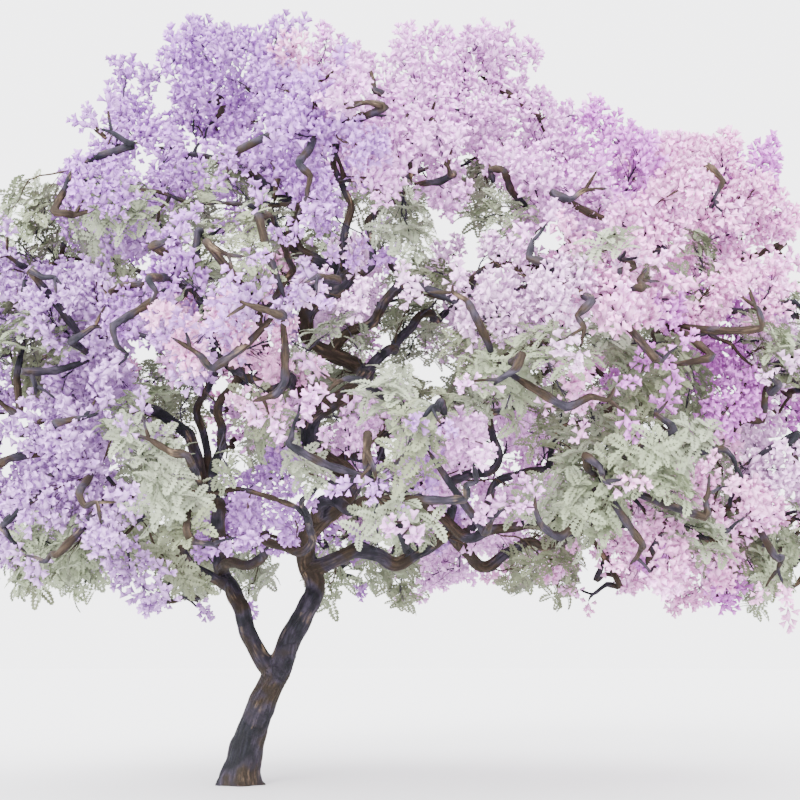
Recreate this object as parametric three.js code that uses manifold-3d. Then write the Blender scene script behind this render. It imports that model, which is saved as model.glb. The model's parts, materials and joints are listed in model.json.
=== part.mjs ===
// A jacaranda tree in blossom: a leaning trunk that forks low, crooked boughs, and a broad crown of
// separate masses of blossom and leaf. Millimetres, +Z up. The origin is the centre of the flat cut
// at ground level, +X is to the right of the picture, and -Y is towards the viewer.

import * as THREE from "three";
import { mergeVertices } from "three/addons/utils/BufferGeometryUtils.js";
import Module from "manifold-3d";

const wasm = await Module();
wasm.setup();

// Driving dimensions of the trunk
const TRUNK = {
  height: 1640,
  leanRight: 600,
  leanForward: 90,
  leanPower: 1.6,
  footRadius: 225,
  forkRadius: 188,
  forkShare: 0.75, // of the height, where the taper ends
  topRadius: 160,
  shoulderShare: 0.8,
  flare: 115,
  flareHeight: 190,
  buttresses: 5,
  buttressTurn: 0.7,
  buttressDepth: 0.38, // share of the flare that comes and goes round the foot
  sides: 18,
  steps: 7,
  stepGrowth: 1.25, // the rings stand closer together near the ground
};

// Driving dimensions of the crown. Each tier is a ring of masses: where its middle stands, the half
// widths of the ring that the masses' centres stand on, the masses' own radii, how many there are,
// how far the first is turned from +X, and how many boughs carry them.
const CROWN_Y = 100;
const SKIRT_HEIGHT = 1950;
const TIERS = {
  top: { x: 1100, z: 8400, ring: [2350, 1750], across: 1550, up: 1250, count: 7, turn: 8, groups: 3 },
  upper: { x: 1750, z: 6800, ring: [4200, 3350], across: 1650, up: 1250, count: 9, turn: 25, groups: 4 },
  middle: { x: 1850, z: 5100, ring: [4850, 4100], across: 1700, up: 1300, count: 10, turn: 0, groups: 5 },
  lower: { x: 1850, z: 3400, ring: [4650, 3800], across: 1650, up: 1300, count: 10, turn: 18, groups: 5 },
};
const CAP_TIER = "top"; // the last mass of this tier stands over the middle of its ring
const CAP_LIFT = 0.3; // share of that mass's height
const SCATTER = 220; // how far a mass may stand off its place in the ring
const SIZE_SCATTER = 0.1;

// Each bough: what it grows from and where along it, its radius there, the way it leaves (degrees
// round from +X, and above the level), and the tier and group of masses that it carries.
const BOUGHS = [
  { name: "left", from: "trunk", at: 0.8, girth: 118, way: [176, 48], carries: ["middle", 2] },
  { name: "centre", from: "trunk", at: 0.86, girth: 138, way: [10, 66], carries: ["top", 1] },
  { name: "right", from: "centre", at: 0.13, girth: 104, way: [352, 24], carries: ["lower", 0] },
  { name: "front", from: "centre", at: 0.2, girth: 84, way: [262, 38], carries: ["lower", 4] },
  { name: "back", from: "centre", at: 0.22, girth: 92, way: [92, 28], carries: ["middle", 1] },
  { name: "low_front", from: "left", at: 0.36, girth: 74, way: [285, 15], carries: ["lower", 3] },
  { name: "low_left", from: "left", at: 0.28, girth: 76, way: [165, 20], carries: ["lower", 2] },
  { name: "low_back", from: "right", at: 0.26, girth: 70, way: [95, 18], carries: ["lower", 1] },
  { name: "right_back", from: "right", at: 0.52, girth: 66, way: [30, 48], carries: ["middle", 0] },
  { name: "right_front", from: "right", at: 0.4, girth: 70, way: [312, 50], carries: ["middle", 4] },
  { name: "left_front", from: "centre", at: 0.42, girth: 84, way: [225, 42], carries: ["middle", 3] },
  { name: "upper_left_front", from: "left", at: 0.6, girth: 68, way: [250, 62], carries: ["upper", 2] },
  { name: "upper_left_back", from: "left", at: 0.7, girth: 64, way: [120, 62], carries: ["upper", 1] },
  { name: "upper_right_back", from: "centre", at: 0.5, girth: 78, way: [45, 50], carries: ["upper", 0] },
  { name: "upper_right_front", from: "centre", at: 0.58, girth: 76, way: [320, 46], carries: ["upper", 3] },
  { name: "top_right", from: "centre", at: 0.7, girth: 62, way: [20, 30], carries: ["top", 0] },
  { name: "top_front", from: "centre", at: 0.76, girth: 66, way: [290, 60], carries: ["top", 2] },
];
const BOUGH_TAPER = 0.66; // radius at a bough's tip, as a share of its girth
const BOUGH_SWAY = 0.052; // how far a bough swings off its line, as a share of its length
const BOUGH_WAVE = 1250; // length of one swing
const BOUGH_LIFT = 0.5; // how much a bough rises as it ends
const TIP_INSET = 0.3; // how far a bough's tip stays inside its masses, as a share of the way to the axis
const TIP_DROP = 250;
const COLLAR = 0.18; // how much a bough thickens at its root
const COLLAR_SHARE = 0.12;
const BOUGH_STEP = 360;
const MAIN_GIRTH = 100; // boughs thicker than this have more sides
const MAIN_SIDES = 8;
const BOUGH_SIDES = 6;

// A limb's line: how far it keeps to the ways that it leaves and arrives by, as shares of its span,
// and how sharply it crooks
const LEAVE_SHARE = 0.36;
const ARRIVE_SHARE = 0.3;
const CROOK = 1 / 7;

// Stems and twigs of a mass
const STEM_GIRTH = { share: 0.42, most: 32 }; // of its bough's tip, where stems stand side by side
const STEM_TAPER = 0.8;
const STEM_SWAY = 0.03;
const STEM_WAVES = 1.5;
const STEM_SIDES = 5;
const STEM_STEPS = 3;
const STEM_TRIES = 12; // ways that a stem may swing, until one clears the limbs
const TWIG_PLACES = [0.66, 0.83, 1]; // along the stem; the last one goes straight on from its tip
const TWIG_REACH = 0.5; // share of the mass's radius that a twig reaches
const TWIG_GIRTH = 0.8; // of the stem's tip
const TWIG_TAPER = 0.75;
const TWIG_SWAY = 0.06;
const TWIG_STEPS = 2;
const TWIG_SINK = 12;

// Sprays: a blossom cluster or leaves each. Their widths and thicknesses are shares of their length.
const SPRAY_PLACES = [0.35, 0.6, 0.85, 1]; // along the twig; the last one goes on from its tip
const SPRAY_SPLAY = { aside: 62, ahead: 15 }; // degrees from the twig's own way
const SPRAY_LENGTH = 1150;
const SPRAY_TRIES = { lengths: [1, 0.85, 0.7, 0.55], turns: [0, 70, -70, 140] }; // until one fits
const SPRAY_SINK = 4;
const BLOSSOM = { width: 0.7, thickness: 0.36 };
const LEAF = { width: 0.62, thickness: 0.08 };
const LEAF_SHARE = 0.32;
const WIDEST = 0.55; // along the spray
const RIDGE = { along: 0.5, height: 0.8, brim: -0.2 }; // heights are shares of the thickness

const CLEARANCE = 0.3; // gap between solids that meet
const LIMB_ROOM = 14; // gap between a limb and a twig or spray beside it
const SPACE_ROOM = 12; // gap between a mass and the edge of its space
const MASS_SMOOTHING = 2.5;
const LIMB_SMOOTHING = 0.03;

// Seeds of the random draws, apart from each mass's own number
const SEEDS = { tier: 20, twigs: 100, boughs: 400, stems: 700, nextStem: 50 };

const UP = new THREE.Vector3(0, 0, 1);
const CROWN_MIDDLE = new THREE.Vector3(TIERS.middle.x, CROWN_Y, TIERS.lower.z);

// The same seed gives the same run of numbers from 0 to 1
function seeded(seed) {
  const modulus = 2147483647;
  let state = ((seed + 1) * 7919) % modulus;
  const next = () => {
    state = (state * 48271) % modulus;
    return state / modulus;
  };
  next();
  return next;
}

function mix(a, b, share) {
  return a + (b - a) * share;
}

// A draw from 0 to 1 made into one that is evenly spread about 0
function about(size, draw) {
  return (2 * draw - 1) * size;
}

// A unit vector from degrees round from +X and above the level
function polar(headingDegrees, climbDegrees) {
  const heading = THREE.MathUtils.degToRad(headingDegrees);
  const climb = THREE.MathUtils.degToRad(climbDegrees);
  return new THREE.Vector3(
    Math.cos(heading) * Math.cos(climb),
    Math.sin(heading) * Math.cos(climb),
    Math.sin(climb),
  );
}

// A line that leaves one point along a given way, arrives at another, and swings from side to side
class CrookedLine extends THREE.Curve {
  constructor(start, leave, end, arrive, sway, waves, random) {
    super();
    const span = start.distanceTo(end);
    this.base = new THREE.CubicBezierCurve3(
      start,
      start.clone().addScaledVector(leave, span * LEAVE_SHARE),
      end.clone().addScaledVector(arrive, -span * ARRIVE_SHARE),
      end,
    );
    const chord = end.clone().sub(start).normalize();
    this.side = chord.clone().cross(UP).normalize();
    this.rise = this.side.clone().cross(chord).normalize();
    this.sway = sway * span;
    this.turns = 2 * Math.PI * waves;
    this.sidePhase = random() * 2 * Math.PI;
    this.risePhase = random() * 2 * Math.PI;
    this.arcLengthDivisions = 80;
  }

  getPoint(t, target = new THREE.Vector3()) {
    const swing = this.sway * Math.sin(Math.PI * t) ** 1.5;
    const crook = (phase) => {
      const angle = this.turns * t + phase;
      return Math.sin(angle) - CROOK * Math.sin(3 * angle);
    };
    return target
      .copy(this.base.getPoint(t))
      .addScaledVector(this.side, swing * crook(this.sidePhase))
      .addScaledVector(this.rise, swing * crook(this.risePhase));
  }
}

// A closed cylinder laid along a line, with a radius for each share of the line's length
function limbGeometry(line, sides, steps, radiusAt) {
  const geometry = new THREE.CylinderGeometry(1, 1, 1, sides, steps);
  const position = geometry.getAttribute("position");
  const frames = line.computeFrenetFrames(steps);
  const corner = new THREE.Vector3();
  for (let i = 0; i < position.count; i++) {
    corner.fromBufferAttribute(position, i);
    const step = Math.round((corner.y + 0.5) * steps);
    const radius = radiusAt(step / steps);
    const point = line
      .getPointAt(step / steps)
      .addScaledVector(frames.normals[step], corner.x * radius)
      .addScaledVector(frames.binormals[step], -corner.z * radius);
    position.setXYZ(i, point.x, point.y, point.z);
  }
  return geometry;
}

// A point on the straight stretches that a limb's steps make of its line
function onChord(line, steps, share) {
  const step = Math.min(steps - 1, Math.floor(share * steps));
  return line.getPointAt(step / steps).lerp(line.getPointAt((step + 1) / steps), share * steps - step);
}

// A three.js geometry as a manifold-3d solid
function solidOf(geometry) {
  const bare = new THREE.BufferGeometry();
  bare.setAttribute("position", geometry.getAttribute("position"));
  bare.setIndex(geometry.index);
  const merged = mergeVertices(bare, 1e-3);
  return new wasm.Manifold(
    new wasm.Mesh({
      numProp: 3,
      vertProperties: new Float32Array(merged.getAttribute("position").array),
      triVerts: new Uint32Array(merged.index.array),
    }),
  );
}

// A manifold-3d solid as a three.js geometry
function geometryOf(solid) {
  const mesh = solid.getMesh();
  const geometry = new THREE.BufferGeometry();
  geometry.setAttribute("position", new THREE.BufferAttribute(mesh.vertProperties, 3));
  geometry.setIndex(new THREE.BufferAttribute(mesh.triVerts, 1));
  geometry.computeVertexNormals();
  return geometry;
}

// The largest body of a solid: hollows that fusing sealed are filled, and loose scraps are dropped
function largestBody(solid, smoothing) {
  const bodies = solid.simplify(smoothing).decompose();
  return bodies.reduce((best, body) => (body.volume() > best.volume() ? body : best));
}

// The trunk's middle at a height, with its lean
function trunkCentre(height) {
  const share = (height / TRUNK.height) ** TRUNK.leanPower;
  return new THREE.Vector3(TRUNK.leanRight * share, -TRUNK.leanForward * share, height);
}

function trunkRadius(height, angle) {
  const share = height / TRUNK.height;
  const body = mix(TRUNK.footRadius, TRUNK.forkRadius, Math.min(1, share / TRUNK.forkShare));
  const shoulder = Math.max(0, (share - TRUNK.shoulderShare) / (1 - TRUNK.shoulderShare));
  const foot = TRUNK.flare * Math.exp(-height / TRUNK.flareHeight);
  const lobe = Math.cos(TRUNK.buttresses * angle + TRUNK.buttressTurn);
  return mix(body, TRUNK.topRadius, shoulder ** 2) + foot * (1 + TRUNK.buttressDepth * (lobe - 1));
}

// The trunk in level rings, from the flat cut at the ground to the fork
function trunkGeometry(extra = 0) {
  const geometry = new THREE.CylinderGeometry(1, 1, 1, TRUNK.sides, TRUNK.steps);
  const position = geometry.getAttribute("position");
  for (let i = 0; i < position.count; i++) {
    const share = (position.getY(i) + 0.5) ** TRUNK.stepGrowth;
    const height = share * TRUNK.height;
    const centre = trunkCentre(height);
    const x = position.getX(i);
    const y = -position.getZ(i);
    const radius = trunkRadius(height, Math.atan2(y, x)) + extra;
    const lift = share === 1 ? extra : 0;
    position.setXYZ(i, centre.x + x * radius, centre.y + y * radius, height + lift);
  }
  return geometry;
}

// The masses of one tier, evenly round the crown's axis
function massesOfTier(tierName, firstSeed) {
  const tier = TIERS[tierName];
  const axis = new THREE.Vector3(tier.x, CROWN_Y, tier.z);
  const ringCount = tierName === CAP_TIER ? tier.count - 1 : tier.count;
  return Array.from({ length: tier.count }, (_, i) => {
    const random = seeded(firstSeed + i);
    const angle = THREE.MathUtils.degToRad(tier.turn + (360 * i) / ringCount);
    const place = new THREE.Vector3(tier.ring[0] * Math.cos(angle), tier.ring[1] * Math.sin(angle), 0);
    if (i === ringCount) place.set(0, 0, CAP_LIFT * tier.up);
    const scatter = new THREE.Vector3(...[0, 1, 2].map(() => about(SCATTER, random())));
    const size = 1 + about(SIZE_SCATTER, random());
    return {
      name: `mass_${tierName}_${i + 1}`,
      tierName,
      axis,
      centre: axis.clone().add(place).add(scatter),
      radii: new THREE.Vector3(tier.across, tier.across, tier.up).multiplyScalar(size),
      group: Math.min(tier.groups - 1, Math.floor((i * tier.groups) / ringCount)),
      seed: firstSeed + i,
    };
  });
}

// Half way planes to the neighbours, so that each mass has a convex space of its own
function fencesOf(mass, masses) {
  const reach = mass.radii.x;
  return masses
    .filter((other) => other !== mass)
    .filter((other) => other.centre.distanceTo(mass.centre) < reach + other.radii.x)
    .map((other) => {
      const away = other.centre.clone().sub(mass.centre);
      const share = reach / (reach + other.radii.x);
      return { point: mass.centre.clone().addScaledVector(away, share), away: away.normalize() };
    });
}

// Whether a point lies within its mass's space
function inSpace(point, mass) {
  const offset = point.clone().sub(mass.centre);
  const room = mass.radii.clone().subScalar(SPACE_ROOM);
  if (offset.divide(room).lengthSq() > 1 || point.z < SKIRT_HEIGHT) return false;
  return mass.fences.every((f) => point.clone().sub(f.point).dot(f.away) < -SPACE_ROOM);
}

function allInSpace(geometry, mass) {
  const position = geometry.getAttribute("position");
  const corner = new THREE.Vector3();
  for (let i = 0; i < position.count; i++)
    if (!inSpace(corner.fromBufferAttribute(position, i), mass)) return false;
  return true;
}

// Where a bough ends: inside the masses that it carries, towards the crown's axis
function tipOf(carried) {
  const middle = new THREE.Vector3();
  for (const mass of carried) middle.addScaledVector(mass.centre, 1 / carried.length);
  const inward = carried[0].axis.clone().sub(middle).multiplyScalar(TIP_INSET);
  return middle.add(inward).addScaledVector(UP, -TIP_DROP);
}

function boughRadius(bough, share) {
  const collar = 1 + COLLAR * Math.max(0, 1 - share / COLLAR_SHARE) ** 2;
  return bough.girth * mix(1, BOUGH_TAPER, share) * collar;
}

// The bough's line from the middle of what it grows from to its tip among its masses
function layBough(bough, index, lines, masses) {
  const [tierName, group] = bough.carries;
  const carried = masses.filter((m) => m.tierName === tierName && m.group === group);
  const start = lines[bough.from].getPointAt(bough.at);
  const end = tipOf(carried);
  const leave = polar(...bough.way);
  const outward = end.clone().sub(carried[0].axis).setZ(0).normalize();
  const arrive = outward.addScaledVector(UP, BOUGH_LIFT).normalize();
  const waves = start.distanceTo(end) / BOUGH_WAVE;
  const line = new CrookedLine(start, leave, end, arrive, BOUGH_SWAY, waves, seeded(SEEDS.boughs + index));
  return { ...bough, line, carried, length: line.getLength() };
}

function boughSolid(bough, extra = 0) {
  const sides = bough.girth > MAIN_GIRTH ? MAIN_SIDES : BOUGH_SIDES;
  const steps = Math.round(bough.length / BOUGH_STEP);
  return solidOf(limbGeometry(bough.line, sides, steps, (share) => boughRadius(bough, share) + extra));
}

// Where the stems of a bough's masses stand, side by side on its tip, in the order of their bearings
function placeStems(bough) {
  const tip = bough.line.getPointAt(1);
  const along = bough.line.getTangentAt(1);
  const across = along.clone().cross(UP).normalize();
  const above = across.clone().cross(along);
  const tipRadius = boughRadius(bough, 1);
  const count = bough.carried.length;
  const bearingOf = (mass) => {
    const offset = mass.centre.clone().sub(tip);
    return Math.atan2(offset.dot(above), offset.dot(across));
  };
  const inOrder = [...bough.carried].sort((a, b) => bearingOf(a) - bearingOf(b));
  inOrder.forEach((mass, i) => {
    const bearing = bearingOf(inOrder[0]) + (2 * Math.PI * i) / count;
    mass.girth = Math.min(STEM_GIRTH.most, STEM_GIRTH.share * tipRadius);
    const aside = count > 1 ? tipRadius - mass.girth : 0;
    mass.stemStart = tip
      .clone()
      .addScaledVector(along, CLEARANCE)
      .addScaledVector(across, aside * Math.cos(bearing))
      .addScaledVector(above, aside * Math.sin(bearing));
    mass.stemLeave = along;
  });
}

function stemRadius(mass, share) {
  return mass.girth * mix(1, STEM_TAPER, share);
}

function stemSolid(mass, extra = 0) {
  return solidOf(limbGeometry(mass.stem, STEM_SIDES, STEM_STEPS, (share) => stemRadius(mass, share) + extra));
}

function isClear(solid, obstacles) {
  return obstacles.every((obstacle) => obstacle.intersect(solid).isEmpty());
}

// A mass's stem, from its bough's tip to the middle of its space, past the limbs and other stems
function growStem(mass, obstacles) {
  const arrive = mass.centre.clone().sub(mass.stemStart).normalize();
  for (let i = 0; i < STEM_TRIES; i++) {
    const random = seeded(SEEDS.stems + mass.seed + SEEDS.nextStem * i);
    const { stemStart, stemLeave, centre } = mass;
    mass.stem = new CrookedLine(stemStart, stemLeave, centre, arrive, STEM_SWAY, STEM_WAVES, random);
    if (isClear(stemSolid(mass), obstacles)) return;
  }
  throw new Error(`a limb crosses the stem of ${mass.name}`);
}

// Evenly spread ways out of a mass's middle
function spreadWays(count, random) {
  const golden = Math.PI * (3 - Math.sqrt(5));
  const turn = random() * 2 * Math.PI;
  return Array.from({ length: count }, (_, i) => {
    const z = 1 - (2 * i + 1) / count;
    const ring = Math.sqrt(1 - z * z);
    return new THREE.Vector3(ring * Math.cos(golden * i + turn), ring * Math.sin(golden * i + turn), z);
  });
}

// The way that lies nearest to another one, taken out of the list
function takeNearest(ways, other) {
  const best = ways.reduce((a, b) => (b.dot(other) > a.dot(other) ? b : a));
  return ways.splice(ways.indexOf(best), 1)[0];
}

// A blossom cluster or a spray of leaves: six faces, from its root to its tip, with its ridge outwards
function sprayGeometry(root, way, outward, length, shape) {
  const across = outward.clone().cross(way).normalize();
  const above = way.clone().cross(across);
  const at = (along, aside, height) =>
    root
      .clone()
      .addScaledVector(way, along * length)
      .addScaledVector(across, aside * shape.width * length)
      .addScaledVector(above, height * shape.thickness * length);
  const [rootCorner, right, tip, left, ridge] = [0, 1, 2, 3, 4];
  const geometry = new THREE.BufferGeometry().setFromPoints([
    at(0, 0, 0),
    at(WIDEST, -0.5, RIDGE.brim),
    at(1, 0, 0),
    at(WIDEST, 0.5, RIDGE.brim),
    at(RIDGE.along, 0, RIDGE.height),
  ]);
  const topFaces = [rootCorner, right, ridge, right, tip, ridge, tip, left, ridge, left, rootCorner, ridge];
  geometry.setIndex([...topFaces, rootCorner, left, right, right, left, tip]);
  return geometry;
}

// A mass: twigs that branch from its stem, and sprays that branch from each twig. What would leave
// the mass's space or touch a limb, another stem or another spray is skipped.
function growMass(mass, limbs) {
  const random = seeded(SEEDS.twigs + mass.seed);
  const parts = [stemSolid(mass)];
  const sprays = [];
  const tryPart = (geometry, obstacles) => {
    if (!allInSpace(geometry, mass)) return null;
    const solid = solidOf(geometry);
    if (!isClear(solid, obstacles)) return null;
    parts.push(solid);
    return solid;
  };
  const trySpray = (geometry) => {
    const solid = tryPart(geometry, [...limbs, ...sprays]);
    if (solid) sprays.push(solid);
    return solid !== null;
  };
  const ways = spreadWays(TWIG_PLACES.length, random);
  const girth = TWIG_GIRTH * stemRadius(mass, 1);
  for (const place of TWIG_PLACES) {
    const start = onChord(mass.stem, STEM_STEPS, place);
    const atTip = place === 1;
    const ahead = atTip ? mass.stem.getTangentAt(1) : start.clone().sub(mass.centre).normalize();
    if (atTip) start.addScaledVector(ahead, -TWIG_SINK);
    const reach = takeNearest(ways, ahead).multiply(mass.radii).multiplyScalar(TWIG_REACH);
    const end = mass.centre.clone().add(reach);
    const straight = end.clone().sub(start).normalize();
    const line = new CrookedLine(start, straight, end, straight, TWIG_SWAY, 1, random);
    const twig = limbGeometry(line, 3, TWIG_STEPS, (share) => girth * mix(1, TWIG_TAPER, share));
    if (tryPart(twig, limbs)) growSprays(line, random, trySpray);
  }
  return largestBody(wasm.Manifold.union(parts), MASS_SMOOTHING);
}

// Sprays on alternate sides of a twig and at its tip, each as long as fits
function growSprays(line, random, trySpray) {
  const turn = 360 * random();
  SPRAY_PLACES.forEach((place, i) => {
    const ahead = line.getTangentAt(place);
    const splay = place < 1 ? SPRAY_SPLAY.aside * mix(0.8, 1.2, random()) : SPRAY_SPLAY.ahead;
    const shape = random() < LEAF_SHARE ? LEAF : BLOSSOM;
    const full = SPRAY_LENGTH * mix(0.9, 1.1, random());
    const fits = (length, turned) => {
      const axis = ahead.clone().cross(UP).normalize();
      axis.applyAxisAngle(ahead, THREE.MathUtils.degToRad(turn + 180 * i + turned));
      const way = ahead.clone().applyAxisAngle(axis, THREE.MathUtils.degToRad(splay));
      const root = onChord(line, TWIG_STEPS, place).addScaledVector(way, -SPRAY_SINK);
      const outward = root.clone().sub(CROWN_MIDDLE).normalize();
      return trySpray(sprayGeometry(root, way, outward, length, shape));
    };
    SPRAY_TRIES.lengths.some((share) => SPRAY_TRIES.turns.some((turned) => fits(full * share, turned)));
  });
}

function material(color, roughness) {
  return new THREE.MeshStandardMaterial({ color, roughness, metalness: 0 });
}
const bark = material(0x564a44, 0.85);
const blossoms = {
  top: material(0xb79bcf, 0.7),
  upper: material(0xc6a6d2, 0.7),
  middle: material(0xd3b0d6, 0.7),
  lower: material(0xc3a6cf, 0.7),
};

function nodeOf(name, solid, look) {
  const mesh = new THREE.Mesh(geometryOf(solid), look);
  mesh.name = name;
  return mesh;
}

const jacaranda = new THREE.Group();

// The masses' places
const masses = Object.keys(TIERS).flatMap((name, i) => massesOfTier(name, SEEDS.tier * (i + 1)));
for (const mass of masses) mass.fences = fencesOf(mass, masses);

// Limbs: each is cut by those before it, so that it seats on what it grows from
const trunkPoints = [0, 0.25, 0.5, 0.75, 1].map((share) => trunkCentre(share * TRUNK.height));
const lines = { trunk: new THREE.CatmullRomCurve3(trunkPoints) };
const boughs = BOUGHS.map((bough, index) => {
  const laid = layBough(bough, index, lines, masses);
  lines[bough.name] = laid.line;
  return laid;
});
jacaranda.add(nodeOf("trunk", solidOf(trunkGeometry()), bark));
const swollen = [solidOf(trunkGeometry(CLEARANCE))];
for (const bough of boughs) {
  const seated = swollen.reduce((solid, earlier) => solid.subtract(earlier), boughSolid(bough));
  jacaranda.add(nodeOf(`bough_${bough.name}`, largestBody(seated, LIMB_SMOOTHING), bark));
  swollen.push(boughSolid(bough, CLEARANCE));
}

// Stems stand clear of the limbs and of one another, and all of them are laid before any twig
const trunkRoom = solidOf(trunkGeometry(LIMB_ROOM));
const boughRooms = boughs.map((bough) => boughSolid(bough, LIMB_ROOM));
for (const [i, bough] of boughs.entries()) {
  placeStems(bough);
  const otherBoughs = boughRooms.filter((_, k) => k !== i);
  for (const mass of bough.carried) {
    const laid = masses.filter((other) => other.stem);
    const roomBeside = (other) => (bough.carried.includes(other) ? CLEARANCE : LIMB_ROOM);
    const otherStems = laid.map((other) => stemSolid(other, roomBeside(other)));
    growStem(mass, [trunkRoom, ...otherBoughs, ...otherStems]);
  }
}
for (const mass of masses) {
  const otherStems = masses.filter((other) => other !== mass).map((other) => stemSolid(other, LIMB_ROOM));
  const solid = growMass(mass, [trunkRoom, ...boughRooms, ...otherStems]);
  jacaranda.add(nodeOf(mass.name, solid, blossoms[mass.tierName]));
}

export default jacaranda;
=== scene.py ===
"""A jacaranda tree in blossom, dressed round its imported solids.

Bark with its relief replaces the trunk and boughs. Each mass is grown again from its bough's tip by
the same seeded rule as its solid, and carried on to finer twigs, panicles of blossom and fronds.
Metres, +Z up, with the origin at the centre of the flat cut at ground level.
"""

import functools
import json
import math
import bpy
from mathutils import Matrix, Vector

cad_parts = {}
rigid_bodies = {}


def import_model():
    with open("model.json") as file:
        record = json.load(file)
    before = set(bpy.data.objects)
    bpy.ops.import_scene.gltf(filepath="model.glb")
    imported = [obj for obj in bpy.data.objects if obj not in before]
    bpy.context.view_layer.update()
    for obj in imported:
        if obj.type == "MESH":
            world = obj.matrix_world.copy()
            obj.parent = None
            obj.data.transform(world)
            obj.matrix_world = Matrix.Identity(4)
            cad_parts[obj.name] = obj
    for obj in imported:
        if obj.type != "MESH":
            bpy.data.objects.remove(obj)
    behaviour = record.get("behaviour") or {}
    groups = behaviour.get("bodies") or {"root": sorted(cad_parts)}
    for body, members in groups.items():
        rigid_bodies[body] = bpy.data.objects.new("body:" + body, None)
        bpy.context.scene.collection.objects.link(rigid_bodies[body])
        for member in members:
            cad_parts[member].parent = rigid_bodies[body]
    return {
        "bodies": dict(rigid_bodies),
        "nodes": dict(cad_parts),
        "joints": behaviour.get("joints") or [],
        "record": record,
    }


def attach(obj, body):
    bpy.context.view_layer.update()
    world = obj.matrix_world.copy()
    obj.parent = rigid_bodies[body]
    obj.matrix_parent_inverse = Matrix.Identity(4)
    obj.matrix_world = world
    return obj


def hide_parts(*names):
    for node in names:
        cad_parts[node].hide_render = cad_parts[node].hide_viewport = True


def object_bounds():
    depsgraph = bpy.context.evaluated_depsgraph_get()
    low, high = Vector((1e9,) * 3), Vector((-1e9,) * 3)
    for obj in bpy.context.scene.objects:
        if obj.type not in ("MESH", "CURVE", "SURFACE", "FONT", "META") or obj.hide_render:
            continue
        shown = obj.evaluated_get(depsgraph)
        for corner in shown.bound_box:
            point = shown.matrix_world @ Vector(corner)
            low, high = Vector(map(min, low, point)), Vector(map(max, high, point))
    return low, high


bl_info = {
    "name": "Jacaranda in blossom",
    "version": (1, 0, 0),
    "blender": (4, 5, 0),
    "location": "3D View > Sidebar > Jacaranda",
    "description": "Grows the bark, twigs, blossom and leaves of a jacaranda on its solid limbs",
    "category": "Object",
}

from types import SimpleNamespace

import bmesh
import bpy
import numpy as np
from bpy.props import FloatProperty, FloatVectorProperty, IntProperty, PointerProperty
from mathutils import Matrix, Vector, noise
from mathutils.bvhtree import BVHTree
from mathutils.kdtree import KDTree

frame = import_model()
CAD_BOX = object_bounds()

# The limbs' and masses' own rule, as their solids have it, in metres
TRUNK = SimpleNamespace(
    height=1.64,
    lean_right=0.6,
    lean_forward=0.09,
    lean_power=1.6,
    foot_radius=0.225,
    fork_radius=0.188,
    fork_share=0.75,
    top_radius=0.16,
    shoulder_share=0.8,
    flare=0.115,
    flare_height=0.19,
    buttresses=5,
    buttress_turn=0.7,
    buttress_depth=0.38,
    sides=18,
    steps=7,
)
CROWN_Y = 0.1
SKIRT_HEIGHT = 1.95
TIER_KEYS = ("x", "z", "ring", "across", "up", "count", "turn", "groups")
TIER_ROWS = {
    "top": (1.1, 8.4, (2.35, 1.75), 1.55, 1.25, 7, 8, 3),
    "upper": (1.75, 6.8, (4.2, 3.35), 1.65, 1.25, 9, 25, 4),
    "middle": (1.85, 5.1, (4.85, 4.1), 1.7, 1.3, 10, 0, 5),
    "lower": (1.85, 3.4, (4.65, 3.8), 1.65, 1.3, 10, 18, 5),
}
TIERS = {name: SimpleNamespace(**dict(zip(TIER_KEYS, row))) for name, row in TIER_ROWS.items()}
CAP_TIER = "top"
CAP_LIFT = 0.3
SCATTER = 0.22
SIZE_SCATTER = 0.1

# Each bough: what it grows from and where along it, its radius there, the way it leaves (degrees
# round from +X, and above the level), and the tier and group of masses that it carries
BOUGHS = (
    ("left", "trunk", 0.8, 0.118, (176, 48), ("middle", 2)),
    ("centre", "trunk", 0.86, 0.138, (10, 66), ("top", 1)),
    ("right", "centre", 0.13, 0.104, (352, 24), ("lower", 0)),
    ("front", "centre", 0.2, 0.084, (262, 38), ("lower", 4)),
    ("back", "centre", 0.22, 0.092, (92, 28), ("middle", 1)),
    ("low_front", "left", 0.36, 0.074, (285, 15), ("lower", 3)),
    ("low_left", "left", 0.28, 0.076, (165, 20), ("lower", 2)),
    ("low_back", "right", 0.26, 0.07, (95, 18), ("lower", 1)),
    ("right_back", "right", 0.52, 0.066, (30, 48), ("middle", 0)),
    ("right_front", "right", 0.4, 0.07, (312, 50), ("middle", 4)),
    ("left_front", "centre", 0.42, 0.084, (225, 42), ("middle", 3)),
    ("upper_left_front", "left", 0.6, 0.068, (250, 62), ("upper", 2)),
    ("upper_left_back", "left", 0.7, 0.064, (120, 62), ("upper", 1)),
    ("upper_right_back", "centre", 0.5, 0.078, (45, 50), ("upper", 0)),
    ("upper_right_front", "centre", 0.58, 0.076, (320, 46), ("upper", 3)),
    ("top_right", "centre", 0.7, 0.062, (20, 30), ("top", 0)),
    ("top_front", "centre", 0.76, 0.066, (290, 60), ("top", 2)),
)
BOUGH_TAPER = 0.66
BOUGH_SWAY = 0.052
BOUGH_WAVE = 1.25
BOUGH_LIFT = 0.5
TIP_INSET = 0.3
TIP_DROP = 0.25
COLLAR = 0.18
COLLAR_SHARE = 0.12
BOUGH_STEP = 0.36
LEAVE_SHARE = 0.36
ARRIVE_SHARE = 0.3
CROOK = 1 / 7
STEM_GIRTH = SimpleNamespace(share=0.42, most=0.032)
STEM_TAPER = 0.8
STEM_SWAY = 0.03
STEM_WAVES = 1.5
STEM_SIDES = 5
STEM_STEPS = 3
STEM_TRIES = 12
TWIG_PLACES = (0.66, 0.83, 1)
TWIG_REACH = 0.5
TWIG_GIRTH = 0.8
TWIG_TAPER = 0.75
TWIG_SWAY = 0.06
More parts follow.
